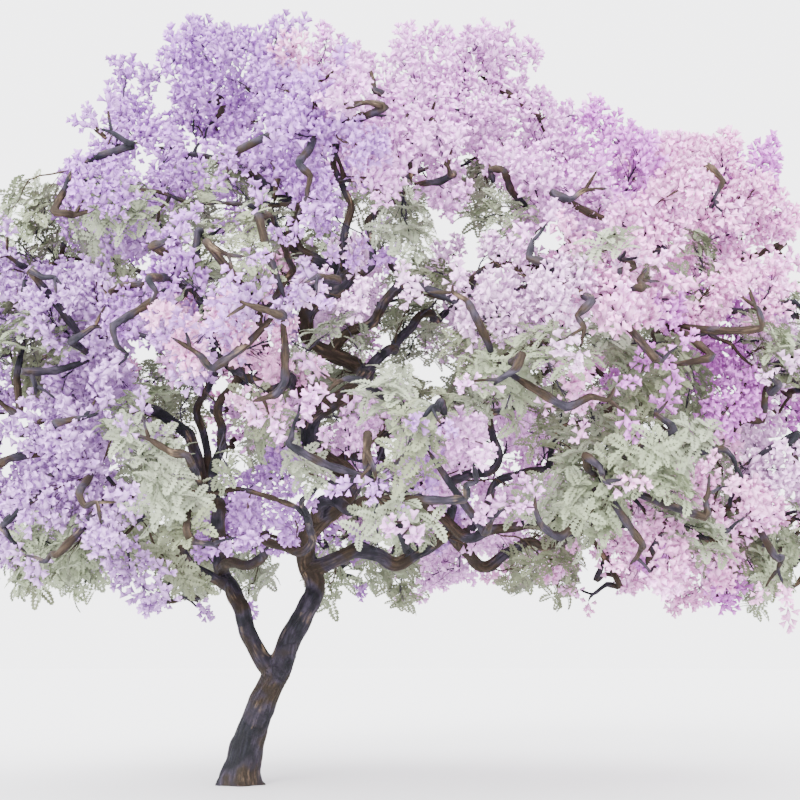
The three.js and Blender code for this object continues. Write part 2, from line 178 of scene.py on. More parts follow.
TWIG_STEPS = 2
TWIG_STOPS = (0, 0.001, 0.5, 0.999, 1)
TWIG_SINK = 0.012
SPRAY_PLACES = (0.35, 0.6, 0.85, 1)
SPRAY_SPLAY = SimpleNamespace(aside=62, ahead=15)
SPRAY_LENGTH = 1.15
SPRAY_LENGTHS = (1, 0.85, 0.7, 0.55)
SPRAY_TURNS = (0, 70, -70, 140)
SPRAY_SINK = 0.004
SPLAY_SPREAD = (0.8, 1.2)
LENGTH_SPREAD = (0.9, 1.1)
BLOSSOM_SPRAY = SimpleNamespace(width=0.7, thickness=0.36)
LEAF_SPRAY = SimpleNamespace(width=0.62, thickness=0.08)
LEAF_SHARE = 0.32
WIDEST = 0.55
RIDGE = SimpleNamespace(along=0.5, height=0.8, brim=-0.2)
SPRAY_FACES = np.array(((0, 1, 4), (1, 2, 4), (2, 3, 4), (3, 0, 4), (0, 3, 1), (1, 3, 2)))
CLEARANCE = 0.0003
LIMB_ROOM = 0.014
SPACE_ROOM = 0.012
SEEDS = SimpleNamespace(
    tier=20, twigs=100, boughs=400, stems=700, next_stem=50, finer=900, spurs=1100, along=1300
)
LIMB_SIDES = 6
END_ROOM = 0.001

UP = np.array((0.0, 0.0, 1.0))
CROWN_MIDDLE = np.array((TIERS["middle"].x, CROWN_Y, TIERS["lower"].z))
GOLDEN_TURN = math.pi * (3 - math.sqrt(5))
EVEN_STEPS = (0.7548776662, 0.5698402910)  # steps that spread places evenly over a surface
UPRIGHT = 0.9  # a tube that rises more steeply than this has its sides measured from +X
UPRIGHT_FRAME = 0.95  # and a frame

# The limbs' bark
LIMB = SimpleNamespace(ring_step=0.04, sides=24, voxel=0.016, side_voxel=0.018, below=0.08)
JOIN_SMOOTHING = 6  # passes that round the forks
DOME = SimpleNamespace(share=0.82, least=0.02)  # where the trunk's rounded top starts
NEXT_LIMB = 10  # how far apart the limbs' furrows start in the noise, so that no two are alike
LEVEL_FADE = 0.05  # the bark's relief fades out below this height, for a flat cut
MARK_STEP = 0.08  # between the places on a bough that blossom is kept off
MAIN_LIMBS = ("left", "centre", "right")
FURROW = SimpleNamespace(across=0.06, along=0.3, width=0.3, share=0.07, most=0.011)
LUMP = SimpleNamespace(size=0.22, share=0.11)
FINE_STRETCH = 0.16  # how drawn out the finest furrows are along a limb

# Where the bark's noise is blue-black, violet-grey and brown, and how much darker and bluer the bark
# is below a height, which fades out above
PATCH_STOPS = (0.38, 0.46, 0.53)
DARK_FOOT = SimpleNamespace(below=1.9, above=3.1, bluer=0.05, darker=0.26)

# Stems and twigs as they show, thicker than their solids, in metres; a stem's are shares of its
# bough's tip
STEM_SHOWN = SimpleNamespace(root=0.72, tip=0.5, sink=0.16, sides=11)
TWIG_SHOWN = SimpleNamespace(root=0.03, tip=0.014, sink=0.03, sides=8)
WOBBLE = SimpleNamespace(size=0.05, waves=3.5)
BRANCH_STEP = 0.035
KNOTS = SimpleNamespace(size=0.12, apart=0.23, shift=9)  # how a branch swells, as a share, and how often
BRANCH_FURROW = SimpleNamespace(across=0.03, along=0.16, share=0.14, depth=0.006)

# Finer sprays than the solids', each to a bare place in its mass's shell. Their wood is where they
# may start on its stem and twigs: the first share, and how many places
FINER = SimpleNamespace(
    places=40, shell=0.8, apart=0.5, longer=1.12, shortest=0.4, wood=(0.35, 16), lengths=(1, 0.85, 0.7)
)

# Short sprays along the boughs, where no mass reaches
ALONG = SimpleNamespace(
    first=0.3,
    last=0.95,
    apart=0.3,
    sunk=0.8,
    length=0.9,
    spread=(0.8, 1.15),
    ahead=0.6,
    rise=0.35,
    clear=0.5,
)

# Bare crooked branches that come out between the sprays and run along their mass's shell, in
# metres and degrees
SPUR = SimpleNamespace(
    outward=0.1,  # the least that it faces out of the crown, from 0 for not at all to 1
    shell=0.8,
    wood=(0.3, 12),
    bend=0.55,  # where its bend lies on the way from its wood to the shell
    before=-8,
    after=13,
    knots=4,
    fewest=3,
    jitter=0.07,
    radii=(0.022, 0.048, 0.048, 0.014),
    sides=8,
    stops=4,
    run_stops=3,
    clear=0.1,
    backed=0.78,  # the share of a mass that counts as standing before or behind it
)
SPUR_WAYS = {"top": 6, "upper": 12, "middle": 24, "lower": 20}
OFFSHOOT = SimpleNamespace(
    length=0.26, radii=(0.026, 0.012), splay=50, sides=6, stops=4, rises=(0.03, 0.09)
)
TUFT = SimpleNamespace(out=0.5, scatter=0.4)  # which way the blossom at a branch's end faces
ROUNDING = 0.5  # how far a branch rounds its knots, from straight stretches at 0 to a curve at 1
IN_FRONT = SimpleNamespace(apart=0.05, share=0.7)  # what is kept bare between a bough and the viewer

# Where the photograph shows sky: how far across and how high it is as seen against the trunk, and
# its reach, in metres
OPENINGS = (
    (-3.05, 8.95, 1.25),
    (-1.32, 7.95, 0.2),
    (0.19, 8.54, 0.18),
    (-1.39, 6.59, 0.24),
    (3.92, 8.09, 0.13),
    (3.98, 7.58, 0.13),
    (3.94, 7.08, 0.15),
    (3.04, 6.67, 0.24),
    (3.18, 4.12, 0.28),
    (1.8, 2.97, 0.2),
    (0.69, 6, 0.15),
    (-0.21, 6.27, 0.15),
)

# A spray's spine, the shoots that leave it, and the head of blossom or leaves that each ends in.
# Most are shares of the spray's or the shoot's length
SPINE = SimpleNamespace(
    root=0.013, tip=0.006, stops=8, sides=5, reach=0.86, crook=0.05, turns=8, arch=0.5
)
SHOOT = SimpleNamespace(
    root=0.006,
    tip=0.003,
    sides=3,
    lead=0.24,
    lead_aside=0.4,
    first=0.03,
    last=0.97,
    ahead=0.16,
    droop=0.08,
    scatter=0.07,
    bent=0.15,
)
HEAD = SimpleNamespace(above=0.45, up=0.35, scatter=0.22, room=0.12, fewest=3, least_kept=0.3)
CLUMP = SimpleNamespace(first=0.14, last=0.97, power=0.85, width=0.96, fullness=0.6)
PANICLE_SINK = 0.12  # how far a panicle starts below its spray's surface
BUD_FACES = 8  # a panicle's last faces are its buds
TWIG_DEAL = (7, 5, 3)  # deals the twigs' shades out by where their sprays start

# A flower and the panicle that it stands in: the mouth's lobes and the notches between them are how
# wide and how high they are, and the rest are shares and degrees from its root to its tip
FLOWER = SimpleNamespace(lobes=5, lobe=(0.46, 0.95), notch=(0.25, 0.84), spread=(0.85, 1.15))
PANICLE = SimpleNamespace(
    kinds=6,
    first=0.05,
    tilt=(100, 25),
    tilt_scatter=0.2,
    turn=0.5,
    width=(0.24, 0.04),
    filled=(0.5, 1.1),
    bud_size=(0.2, 0.2, 0.48),
    spread=(0.8, 1.15),
)

# A frond of unit length and its leaflets, and how fronds stand round the end of a shoot
FROND = SimpleNamespace(
    kinds=5,
    midrib=0.016,
    leaflet=(0.19, 0.3),
    fullest=0.8,
    taper=0.7,
    spread=(0.9, 1.1),
    splay=(78, 48),
    splay_scatter=4,
    cup=0.3,
    arch=0.42,
    drawn_in=0.12,
)
WHORL = SimpleNamespace(ahead=(0.1, 0.9), rise=0.15, face_up=0.6, spread=(0.75, 1.15))

# Where the photograph shows leaves, as the openings are told, and a spray's chance of them in those
# places, in the other leafy sprays below a height, and elsewhere
LEAF_PATCHES = (
    (-2.76, 7.04, 0.55),
    (-1.74, 7.06, 0.3),
    (-0.6, 7.24, 0.4),
    (0.4, 6.9, 0.5),
    (1.38, 7.27, 0.35),
    (2.23, 7.05, 0.4),
    (3.19, 7.23, 0.4),
    (2.17, 6.03, 0.4),
    (-0.43, 6.18, 0.3),
    (3.3, 5.2, 0.65),
    (4.86, 5.1, 0.75),
    (5.5, 4.6, 0.35),
    (2.3, 5.0, 0.45),
    (1.1, 5.08, 0.5),
    (-0.94, 4.64, 0.5),
    (-1.0, 3.5, 0.65),
    (0.6, 4.5, 0.4),
    (-2.69, 5.31, 0.35),
    (-2.34, 2.55, 0.6),
    (-0.6, 2.4, 0.4),
    (0.1, 2.54, 0.45),
    (1.7, 2.9, 0.7),
    (3.87, 2.8, 0.5),
    (4.4, 3.95, 0.55),
    (5.7, 3.55, 0.5),
    (7.1, 2.7, 0.6),
    (7.18, 5.68, 0.5),
)
LEAFY = SimpleNamespace(more=0.12, inside=0.85, between=0.2, outside=0.03, height=7.2)

# Blossom tints: how far across the crown and how high each is strongest, as the openings are told,
# and how far it reaches
TINT_PLACES = (
    ("violet", -0.6, 8.5, 2.0),
    ("violet", -0.4, 6.6, 1.0),
    ("blue_violet", -2.9, 6.5, 1.5),
    ("blue_violet", -2.4, 4.3, 1.5),
    ("violet", 0.6, 3.4, 1.0),
    ("mauve", 1.9, 8.9, 1.4),
    ("mauve", 3.4, 8.0, 1.5),
    ("rose", 0.8, 9.5, 0.45),
    ("pink", 5.6, 7.2, 1.8),
    ("lilac", 2.6, 6.1, 1.3),
    ("rose", -0.2, 5.6, 0.8),
    ("mauve", 1.0, 4.4, 1.2),
    ("mauve", 3.2, 3.8, 1.2),
    ("violet", 3.6, 8.6, 0.6),
    ("violet", 2.1, 4.0, 0.6),
    ("lilac", 5.5, 7.3, 0.8),
    ("blue_violet", 0.5, 6.2, 0.6),
    ("orchid", 5.8, 5.5, 1.1),
    ("orchid", 4.75, 8.3, 0.8),
    ("orchid", 6.1, 7.9, 0.85),
    ("lilac", 7.2, 4.8, 1.2),
    ("pink", 5.6, 3.0, 1.6),
    ("orchid", 5.3, 2.4, 0.7),
    ("blue_violet", -1.8, 3.0, 1.0),
)
TINT_SCATTER = 0.32  # a spray may take the tint of a place this far from its own
TINTS = sorted({row[0] for row in TINT_PLACES})
SHADES = {"deep": 0.86, "plain": 1.0, "pale": 1.1}
SHADE_SHARES = (0.25, 0.45, 0.3)
TWIG_SHADES = ("blue_black", "brown", "violet_grey")
LEAF_SHADES = ("sage", "grey_green", "olive")
BRIGHTEST = 0.95  # no pale shade of a tint is brighter

# A finish: the scale of its fine grain, its least and most roughness, how strong and how deep its
# bumps are, and how it shines
BARK_FINISH = SimpleNamespace(grain=45, rough=(0.72, 0.95), bump=0.8, depth=0.012, shine=0.25)
TWIG_FINISH = SimpleNamespace(grain=40, rough=(0.7, 0.9), bump=0.3, depth=0.01, shine=0.25)
BLOSSOM_FINISH = SimpleNamespace(grain=60, rough=(0.45, 0.7), bump=0.15, depth=0.01, shine=0.15)
LEAF_FINISH = SimpleNamespace(grain=60, rough=(0.5, 0.75), bump=0.15, depth=0.01, shine=0.35)
FLOOR_FINISH = SimpleNamespace(grain=2, rough=(0.75, 0.9), bump=0.02, depth=0.01, shine=0.5)
GRAIN = SimpleNamespace(detail=3, seen=(0.3, 0.7))  # its noise's detail, and what is read of it

# The bark's noises as scale and detail, and ranges: what is read of the tan painted highlight's
# and the finest furrows' noise, the most tan highlight, and the painted shade that darkens the
# furrows and the painted light that brightens the ridges
BARK_NOISE = SimpleNamespace(patches=(2.1, 3), tan=(3.4, 4), fine=(42, 4))
BARK_RANGE = SimpleNamespace(tan=(0.56, 0.66, 0, 0.8), fine=(0.38, 0.55), shade=(0, 1, 0.45, 1.25))

FLOOR = SimpleNamespace(radius=160, sides=96, drop=0.004)
KEY_LIGHT = SimpleNamespace(soft=30, tilt=66, turn=-20)
FILL_COLOUR = (0.97, 0.97, 1, 1)
FARTHEST_SEEN = 1000


def srgb(red, green, blue):
    """A colour as it is seen, from 0 to 1, made into the linear one that shaders take."""
    return tuple(c / 12.92 if c <= 0.04045 else ((c + 0.055) / 1.055) ** 2.4 for c in (red, green, blue))


def unit(vector):
    return vector / np.linalg.norm(vector)


def units(vectors):
    """Unit vectors along those in an array's last axis."""
    return vectors / np.linalg.norm(vectors, axis=-1, keepdims=True)


def mix(a, b, share):
    return a + (b - a) * share


def about(size, draw):
    """A number that is evenly spread about 0."""
    return (2 * draw() - 1) * size


def scattered(size, draw):
    """A small step in any direction."""
    return np.array([about(size, draw) for _ in range(3)])


def round_angles(count):
    """Evenly spread angles round a full turn."""
    return np.linspace(0, math.tau, count, endpoint=False)


def seeded(seed):
    """The same seed gives the same run of numbers from 0 to 1."""
    modulus, multiplier, spacing = 2147483647, 48271, 7919
    state = (seed + 1) * spacing % modulus

    def draw():
        nonlocal state
        state = state * multiplier % modulus
        return state / modulus

    draw()
    return draw


def polar(heading_degrees, climb_degrees):
    """A unit vector from degrees round from +X and above the level."""
    heading, climb = math.radians(heading_degrees), math.radians(climb_degrees)
    return np.array(
        (math.cos(heading) * math.cos(climb), math.sin(heading) * math.cos(climb), math.sin(climb))
    )


def turned(vector, axis, angle):
    """A vector turned about an axis, in radians."""
    return np.array(Matrix.Rotation(angle, 3, Vector(axis)) @ Vector(vector))


class Line:
    """A curve that can be asked for places by their share of its length."""

    DIVISIONS = 80
    DELTA = 1e-4

    def measure(self):
        self.times = np.linspace(0, 1, self.DIVISIONS + 1)
        points = self.at_time(self.times)
        stretches = np.linalg.norm(np.diff(points, axis=0), axis=1)
        self.reached = np.concatenate([[0], np.cumsum(stretches)])
        self.length = self.reached[-1]

    def time_of(self, share):
        return np.interp(np.asarray(share) * self.length, self.reached, self.times)

    def at(self, share):
        return self.at_time(self.time_of(share))

    def way_at(self, share):
        time = self.time_of(share)
        after = self.at_time(np.minimum(time + self.DELTA, 1))
        before = self.at_time(np.maximum(time - self.DELTA, 0))
        return units(after - before)

    def on_chord(self, steps, share):
        """A point on the straight stretches that a solid limb's steps make of its line."""
        step = min(steps - 1, math.floor(share * steps))
        return mix(self.at(step / steps), self.at((step + 1) / steps), share * steps - step)


class TrunkLine(Line):
    """The trunk's middle, with its lean."""

    def __init__(self):
        self.measure()

    def at_time(self, time):
        height = np.asarray(time, float) * TRUNK.height
        lean = np.asarray(time, float) ** TRUNK.lean_power
        return np.stack([TRUNK.lean_right * lean, -TRUNK.lean_forward * lean, height], axis=-1)


class CrookedLine(Line):
    """A line that leaves one point along a given way, arrives at another, and swings between."""

    def __init__(self, start, leave, end, arrive, sway, waves, draw):
        span = np.linalg.norm(end - start)
        after_start = start + leave * span * LEAVE_SHARE
        before_end = end - arrive * span * ARRIVE_SHARE
        self.handles = (start, after_start, before_end, end)
        chord = unit(end - start)
        self.side = unit(np.cross(chord, UP))
        self.rise = unit(np.cross(self.side, chord))
        self.sway = sway * span
        self.turns = math.tau * waves
        self.side_phase = math.tau * draw()
        self.rise_phase = math.tau * draw()
        self.measure()

    def crook(self, time, phase):
        angle = self.turns * time + phase
        return np.sin(angle) - CROOK * np.sin(3 * angle)

    def at_time(self, time):
        time = np.asarray(time, float)[..., None]
        rest = 1 - time
        a, b, c, d = self.handles
        base = a * rest**3 + 3 * b * rest**2 * time + 3 * c * rest * time**2 + d * time**3
        swing = self.sway * np.clip(np.sin(math.pi * time), 0, 1) ** 1.5
        sideways = self.side * swing * self.crook(time, self.side_phase)
        return base + sideways + self.rise * swing * self.crook(time, self.rise_phase)


def trunk_radius(height, angle):
    share = height / TRUNK.height
    body = mix(TRUNK.foot_radius, TRUNK.fork_radius, min(1, share / TRUNK.fork_share))
    shoulder = max(0, (share - TRUNK.shoulder_share) / (1 - TRUNK.shoulder_share))
    foot = TRUNK.flare * math.exp(-height / TRUNK.flare_height)
    lobe = math.cos(TRUNK.buttresses * angle + TRUNK.buttress_turn)
    return mix(body, TRUNK.top_radius, shoulder**2) + foot * (1 + TRUNK.buttress_depth * (lobe - 1))


def closed_tubes(paths, radii, sides):
    """Points and triangles of tubes along lists of points, each drawn to a point at both ends."""
    paths, radii = np.asarray(paths, float), np.asarray(radii, float)
    count, stops = paths.shape[:2]
    ways = units(np.gradient(paths, axis=1))
    level = np.abs(ways[:, 0, 2:]) < UPRIGHT
    across = np.cross(ways[:, 0], np.where(level, UP, (1.0, 0.0, 0.0)))
    angles = round_angles(sides)
    rings = []
    for i in range(stops):
        across = units(across - ways[:, i] * np.sum(across * ways[:, i], axis=1, keepdims=True))
        above = np.cross(ways[:, i], across)
        spokes = across[:, None] * np.cos(angles)[:, None] + above[:, None] * np.sin(angles)[:, None]
        rings.append(paths[:, i, None] + spokes * radii[:, i, None, None])
    points = np.concatenate([paths[:, :1], *rings[1:-1], paths[:, -1:]], axis=1)
    size, last = points.shape[1], points.shape[1] - 1
    here, after = np.arange(sides), (np.arange(sides) + 1) % sides
    faces = [np.stack([np.zeros(sides, int), 1 + after, 1 + here], axis=1)]
    for i in range(stops - 3):
        low, high = 1 + i * sides, 1 + (i + 1) * sides
        faces.append(np.stack([low + here, low + after, high + after], axis=1))
        faces.append(np.stack([low + here, high + after, high + here], axis=1))
    top = last - sides
    faces.append(np.stack([np.full(sides, last), top + here, top + after], axis=1))
    pattern = np.concatenate(faces)
    triangles = pattern[None] + (np.arange(count) * size)[:, None, None]
    return points.reshape(-1, 3), triangles.reshape(-1, 3)


def tree_of(points, triangles):
    return BVHTree.FromPolygons(points.tolist(), triangles.tolist())


def limb_tree(line, sides, steps, radius_at, extra=0):
    """A limb's solid form, for tests of what touches it."""
    shares = np.concatenate([[0], np.linspace(0, 1, steps + 1), [1]])
    radii = np.array([radius_at(share) + extra for share in shares])
    paths = line.at(shares)
    paths[0] -= line.way_at(0) * END_ROOM
    paths[-1] += line.way_at(1) * END_ROOM
    return tree_of(*closed_tubes(paths[None], radii[None], sides))


def masses_of_tier(tier_name, first_seed):
    """The masses of one tier, evenly round the crown's axis."""
    tier = TIERS[tier_name]
    axis = np.array((tier.x, CROWN_Y, tier.z))
    ring_count = tier.count - 1 if tier_name == CAP_TIER else tier.count
    masses = []
    for i in range(tier.count):
        draw = seeded(first_seed + i)
        angle = math.radians(tier.turn + 360 * i / ring_count)
        place = np.array((tier.ring[0] * math.cos(angle), tier.ring[1] * math.sin(angle), 0))
        if i == ring_count:
            place = UP * CAP_LIFT * tier.up
        centre = axis + place + scattered(SCATTER, draw)
        size = 1 + about(SIZE_SCATTER, draw)
        masses.append(
            SimpleNamespace(
                name=f"mass_{tier_name}_{i + 1}",
                tier=tier_name,
                axis=axis,
                centre=centre,
                radii=np.array((tier.across, tier.across, tier.up)) * size,
                group=min(tier.groups - 1, i * tier.groups // ring_count),
                seed=first_seed + i,
                stem=None,
            )
        )
    return masses


def fences_of(mass, masses):
    """Half way planes to the neighbours, so that each mass has a convex space of its own."""
    fences = []
    for other in masses:
        away = other.centre - mass.centre
        apart = np.linalg.norm(away)
        if other is not mass and apart < mass.radii[0] + other.radii[0]:
            share = mass.radii[0] / (mass.radii[0] + other.radii[0])
            fences.append((mass.centre + away * share, away / apart))
    return fences


def in_space(points, mass):
    """Whether all points lie within their mass's space."""
    room = mass.radii - SPACE_ROOM
    inside = np.sum(((points - mass.centre) / room) ** 2, axis=1) <= 1
    fenced = all(np.all((points - point) @ away < -SPACE_ROOM) for point, away in mass.fences)
    return fenced and inside.all() and np.all(points[:, 2] >= SKIRT_HEIGHT)


def bough_radius(bough, share):
    collar = 1 + COLLAR * max(0, 1 - share / COLLAR_SHARE) ** 2
    return bough.girth * mix(1, BOUGH_TAPER, share) * collar


def lay_bough(index, row, lines, masses):
    """A bough's line from the middle of what it grows from to its tip among its masses."""
    name, parent, at, girth, way, (tier, group) = row
    carried = [m for m in masses if m.tier == tier and m.group == group]
    start = lines[parent].at(at)
    middle = np.mean([m.centre for m in carried], axis=0)
    axis = carried[0].axis
    end = middle + (axis - middle) * TIP_INSET - UP * TIP_DROP
    outward = unit((end - axis) * (1, 1, 0))
    arrive = unit(outward + UP * BOUGH_LIFT)
    waves = np.linalg.norm(end - start) / BOUGH_WAVE
    line = CrookedLine(start, polar(*way), end, arrive, BOUGH_SWAY, waves, seeded(SEEDS.boughs + index))
    return SimpleNamespace(name=name, girth=girth, line=line, carried=carried)


def place_stems(bough):
    """Stems side by side on their bough's tip, in the order of their bearings."""
    tip, along = bough.line.at(1), bough.line.way_at(1)
    across = unit(np.cross(along, UP))
    above = np.cross(across, along)
    tip_radius = bough_radius(bough, 1)

    def bearing_of(mass):
        offset = mass.centre - tip
        return math.atan2(offset @ above, offset @ across)

    in_order = sorted(bough.carried, key=bearing_of)
    for i, mass in enumerate(in_order):
        bearing = bearing_of(in_order[0]) + math.tau * i / len(in_order)
        mass.girth = min(STEM_GIRTH.most, STEM_GIRTH.share * tip_radius)
        aside = tip_radius - mass.girth if len(in_order) > 1 else 0
        beside = across * aside * math.cos(bearing) + above * aside * math.sin(bearing)
        mass.stem_start = tip + along * CLEARANCE + beside
        mass.stem_leave = along
        mass.tip_radius = tip_radius


def stem_radius(mass, share):
    return mass.girth * mix(1, STEM_TAPER, share)


def stem_tree(mass, extra=0):
    return limb_tree(mass.stem, STEM_SIDES, STEM_STEPS, lambda share: stem_radius(mass, share), extra)


def grow_stem(mass, obstacles):
    """A mass's stem, from its bough's tip to the middle of its space, past the other limbs."""
    arrive = unit(mass.centre - mass.stem_start)
    for i in range(STEM_TRIES):
        draw = seeded(SEEDS.stems + mass.seed + SEEDS.next_stem * i)
        mass.stem = CrookedLine(
            mass.stem_start, mass.stem_leave, mass.centre, arrive, STEM_SWAY, STEM_WAVES, draw
        )
        if not touches(stem_tree(mass), obstacles):
            return
    raise RuntimeError(f"a limb crosses the stem of {mass.name}")


def touches(shape, obstacles):
    return any(shape.overlap(obstacle) for obstacle in obstacles)


def spread_ways(count, draw):
    """Evenly spread ways out of a mass's middle."""
    turn = math.tau * draw()
    ways = []
    for i in range(count):
        z = 1 - (2 * i + 1) / count
        ring = math.sqrt(1 - z * z)
        angle = GOLDEN_TURN * i + turn
        ways.append(np.array((ring * math.cos(angle), ring * math.sin(angle), z)))
    return ways


def spray_corners(spray):
    """The corners of the solid that stands for a spray: its root, right, tip, left and ridge."""
    across, way, above = spray.frame
    half, brim = 0.5 * spray.shape.width, RIDGE.brim * spray.shape.thickness
    ridge = RIDGE.height * spray.shape.thickness
    corners = (
        0 * way,
        WIDEST * way - half * across + brim * above,
        way,
        WIDEST * way + half * across + brim * above,
        RIDGE.along * way + ridge * above,
    )
    return spray.root + np.array(corners) * spray.length


def new_spray(root, way, length, shape):
    """A spray that leaves its root along a way and lies level with the crown's shell."""
    across = unit(np.cross(unit(root - CROWN_MIDDLE), way))
    frame = np.array((across, way, np.cross(way, across)))
    return SimpleNamespace(root=root, base=root, frame=frame, length=length, shape=shape)


def middle_of(spray):
    """Where a spray is widest."""
    return spray.root + spray.frame[1] * spray.length * WIDEST


def grow_mass(mass, limbs):
    """A mass's twigs, and the sprays that branch from each. What would leave the mass's space or
    touch a limb or another spray is skipped."""
    draw = seeded(SEEDS.twigs + mass.seed)
    mass.twigs, mass.sprays = [], []
    taken = []
    ways = spread_ways(len(TWIG_PLACES), draw)
    girth = TWIG_GIRTH * stem_radius(mass, 1)
    for place in TWIG_PLACES:
        start = mass.stem.on_chord(STEM_STEPS, place)
        at_tip = place == 1
        ahead = mass.stem.way_at(1) if at_tip else unit(start - mass.centre)
        if at_tip:
            start = start - ahead * TWIG_SINK
        nearest = max(range(len(ways)), key=lambda i: ways[i] @ ahead)
        end = mass.centre + ways.pop(nearest) * mass.radii * TWIG_REACH
        straight = unit(end - start)
        line = CrookedLine(start, straight, end, straight, TWIG_SWAY, 1, draw)
        radii = girth * np.array((1, 1, mix(1, TWIG_TAPER, 0.5), TWIG_TAPER, TWIG_TAPER))
        points, faces = closed_tubes(line.at(TWIG_STOPS)[None], radii[None], 3)
        if in_space(points, mass) and not touches(tree_of(points, faces), limbs):
            twig = SimpleNamespace(line=line, place=place)
            mass.twigs.append(twig)
            grow_sprays(mass, twig, draw, limbs, taken)


def grow_sprays(mass, twig, draw, limbs, taken):
    """Sprays on alternate sides of a twig and at its tip, each as long as fits."""
    line, turn = twig.line, 360 * draw()
    for i, place in enumerate(SPRAY_PLACES):
        ahead = line.way_at(place)
        splay = SPRAY_SPLAY.aside * mix(*SPLAY_SPREAD, draw()) if place < 1 else SPRAY_SPLAY.ahead
        shape = LEAF_SPRAY if draw() < LEAF_SHARE else BLOSSOM_SPRAY
        full = SPRAY_LENGTH * mix(*LENGTH_SPREAD, draw())
        for share, turn_more in ((s, t) for s in SPRAY_LENGTHS for t in SPRAY_TURNS):
            axis = turned(unit(np.cross(ahead, UP)), ahead, math.radians(turn + 180 * i + turn_more))
            way = turned(ahead, axis, math.radians(splay))
            root = line.on_chord(TWIG_STEPS, place) - way * SPRAY_SINK
            spray = new_spray(root, way, full * share, shape)
            corners = spray_corners(spray)
            if not in_space(corners, mass):
                continue
            tree = tree_of(corners, SPRAY_FACES)
            if not touches(tree, limbs) and not touches(tree, taken):
                taken.append(tree)
                spray.base = shown_twig(mass, twig, place)
                mass.sprays.append(spray)
                break


@functools.cache
def grown():
    """The whole tree: its boughs, and its masses with their stems, twigs and sprays."""
    masses = [m for i, name in enumerate(TIERS) for m in masses_of_tier(name, SEEDS.tier * (i + 1))]
    for mass in masses:
        mass.fences = fences_of(mass, masses)
    trunk = TrunkLine()
    lines = {"trunk": trunk}
    boughs = []
    for index, row in enumerate(BOUGHS):
        bough = lay_bough(index, row, lines, masses)
        lines[bough.name] = bough.line
        boughs.append(bough)
    trunk_room = limb_tree(
        trunk, TRUNK.sides, TRUNK.steps, lambda share: trunk_radius(share * TRUNK.height, 0), LIMB_ROOM
    )
    rooms = {}
    for bough in boughs:
        steps = round(bough.line.length / BOUGH_STEP)
        radius_at = functools.partial(bough_radius, bough)
        rooms[bough.name] = limb_tree(bough.line, LIMB_SIDES, steps, radius_at, LIMB_ROOM)
    for bough in boughs:
        place_stems(bough)
        others = [room for name, room in rooms.items() if name != bough.name]
        for mass in bough.carried:
            beside = [m for m in masses if m.stem and not any(m is c for c in bough.carried)]
            grow_stem(mass, [trunk_room, *others, *(stem_tree(m, LIMB_ROOM) for m in beside)])
    stems = {m.name: stem_tree(m, LIMB_ROOM) for m in masses}
    for mass in masses:
        others = [tree for name, tree in stems.items() if name != mass.name]
        grow_mass(mass, [trunk_room, *rooms.values(), *others])
        grow_finer(mass)
        grow_spurs(mass, masses)
    clothe_boughs(boughs, masses)
    return SimpleNamespace(boughs=boughs, masses=masses)


def smooth_steps(share):
    """A share that starts and ends gently."""
    return share * share * (3 - 2 * share)


def frames_round(ways, ups):
    """Right handed frames: the second row is the way given, and the third leans to the up given."""
    ways = units(ways)
    across = units(np.cross(ways, ups))
    return np.stack([across, ways, np.cross(across, ways)], axis=1)


def frames_along(ways, turns):
    """Right handed frames whose third row is the way given, turned about it."""
    flat = frames_round(ways, np.where(np.abs(ways[:, 2:]) < UPRIGHT_FRAME, UP, (1.0, 0.0, 0.0)))
    across = flat[:, 0] * np.cos(turns)[:, None] + flat[:, 2] * np.sin(turns)[:, None]
    return np.stack([across, np.cross(flat[:, 1], across), flat[:, 1]], axis=1)


def shown_stem(mass, shares):
    """Where a stem runs as it shows, crooked a little more than its solid."""
    shares = np.asarray(shares, float)
    wave = np.sin(math.tau * WOBBLE.waves * shares + mass.seed)
    swing = WOBBLE.size * np.sin(math.pi * shares) * wave
    return mass.stem.at(shares) + mass.stem.side * swing[..., None]


def shown_twig(mass, twig, shares):
    """Where a twig runs as it shows: it leaves the shown stem and joins its own line."""
    shares = np.asarray(shares, float)
    start = shown_stem(mass, twig.place) - twig.line.at(0)
    return twig.line.at(shares) + start * (1 - shares[..., None]) ** 2


def wood_of(mass, first, count):
    """Places along a mass's stem and twigs, from a share of each to its tip."""
    shares = np.linspace(first, 1, count)
    return np.concatenate(
        [shown_stem(mass, shares), *(shown_twig(mass, twig, shares) for twig in mass.twigs)]
    )


def distances(places, target):
    return np.linalg.norm(np.array(places) - target, axis=1)


def square_to(way, turn):
    """A unit vector square to a way, turned round it from the level."""
    level = unit(np.cross(way, UP))
    return level * math.cos(turn) + np.cross(level, way) * math.sin(turn)


def grow_finer(mass):
    """Finer sprays to the bare places in a mass's shell, each from the nearest wood."""
    draw = seeded(SEEDS.finer + mass.seed)
    wood = wood_of(mass, *FINER.wood)
    middles = [middle_of(spray) for spray in mass.sprays]
    for way in spread_ways(FINER.places, draw):
        target = mass.centre + way * mass.radii * FINER.shell
        base = wood[np.argmin(distances(wood, target))]
        full = min(np.linalg.norm(target - base) * FINER.longer, SPRAY_LENGTH)
        for share in FINER.lengths:
            spray = new_spray(base, unit(target - base), full * share, BLOSSOM_SPRAY)
            middle = middle_of(spray)
            crowded = min(distances(middles, middle)) < FINER.apart
            if spray.length > FINER.shortest and not crowded and in_space(spray_corners(spray), mass):
                mass.sprays.append(spray)
                middles.append(middle)
                break


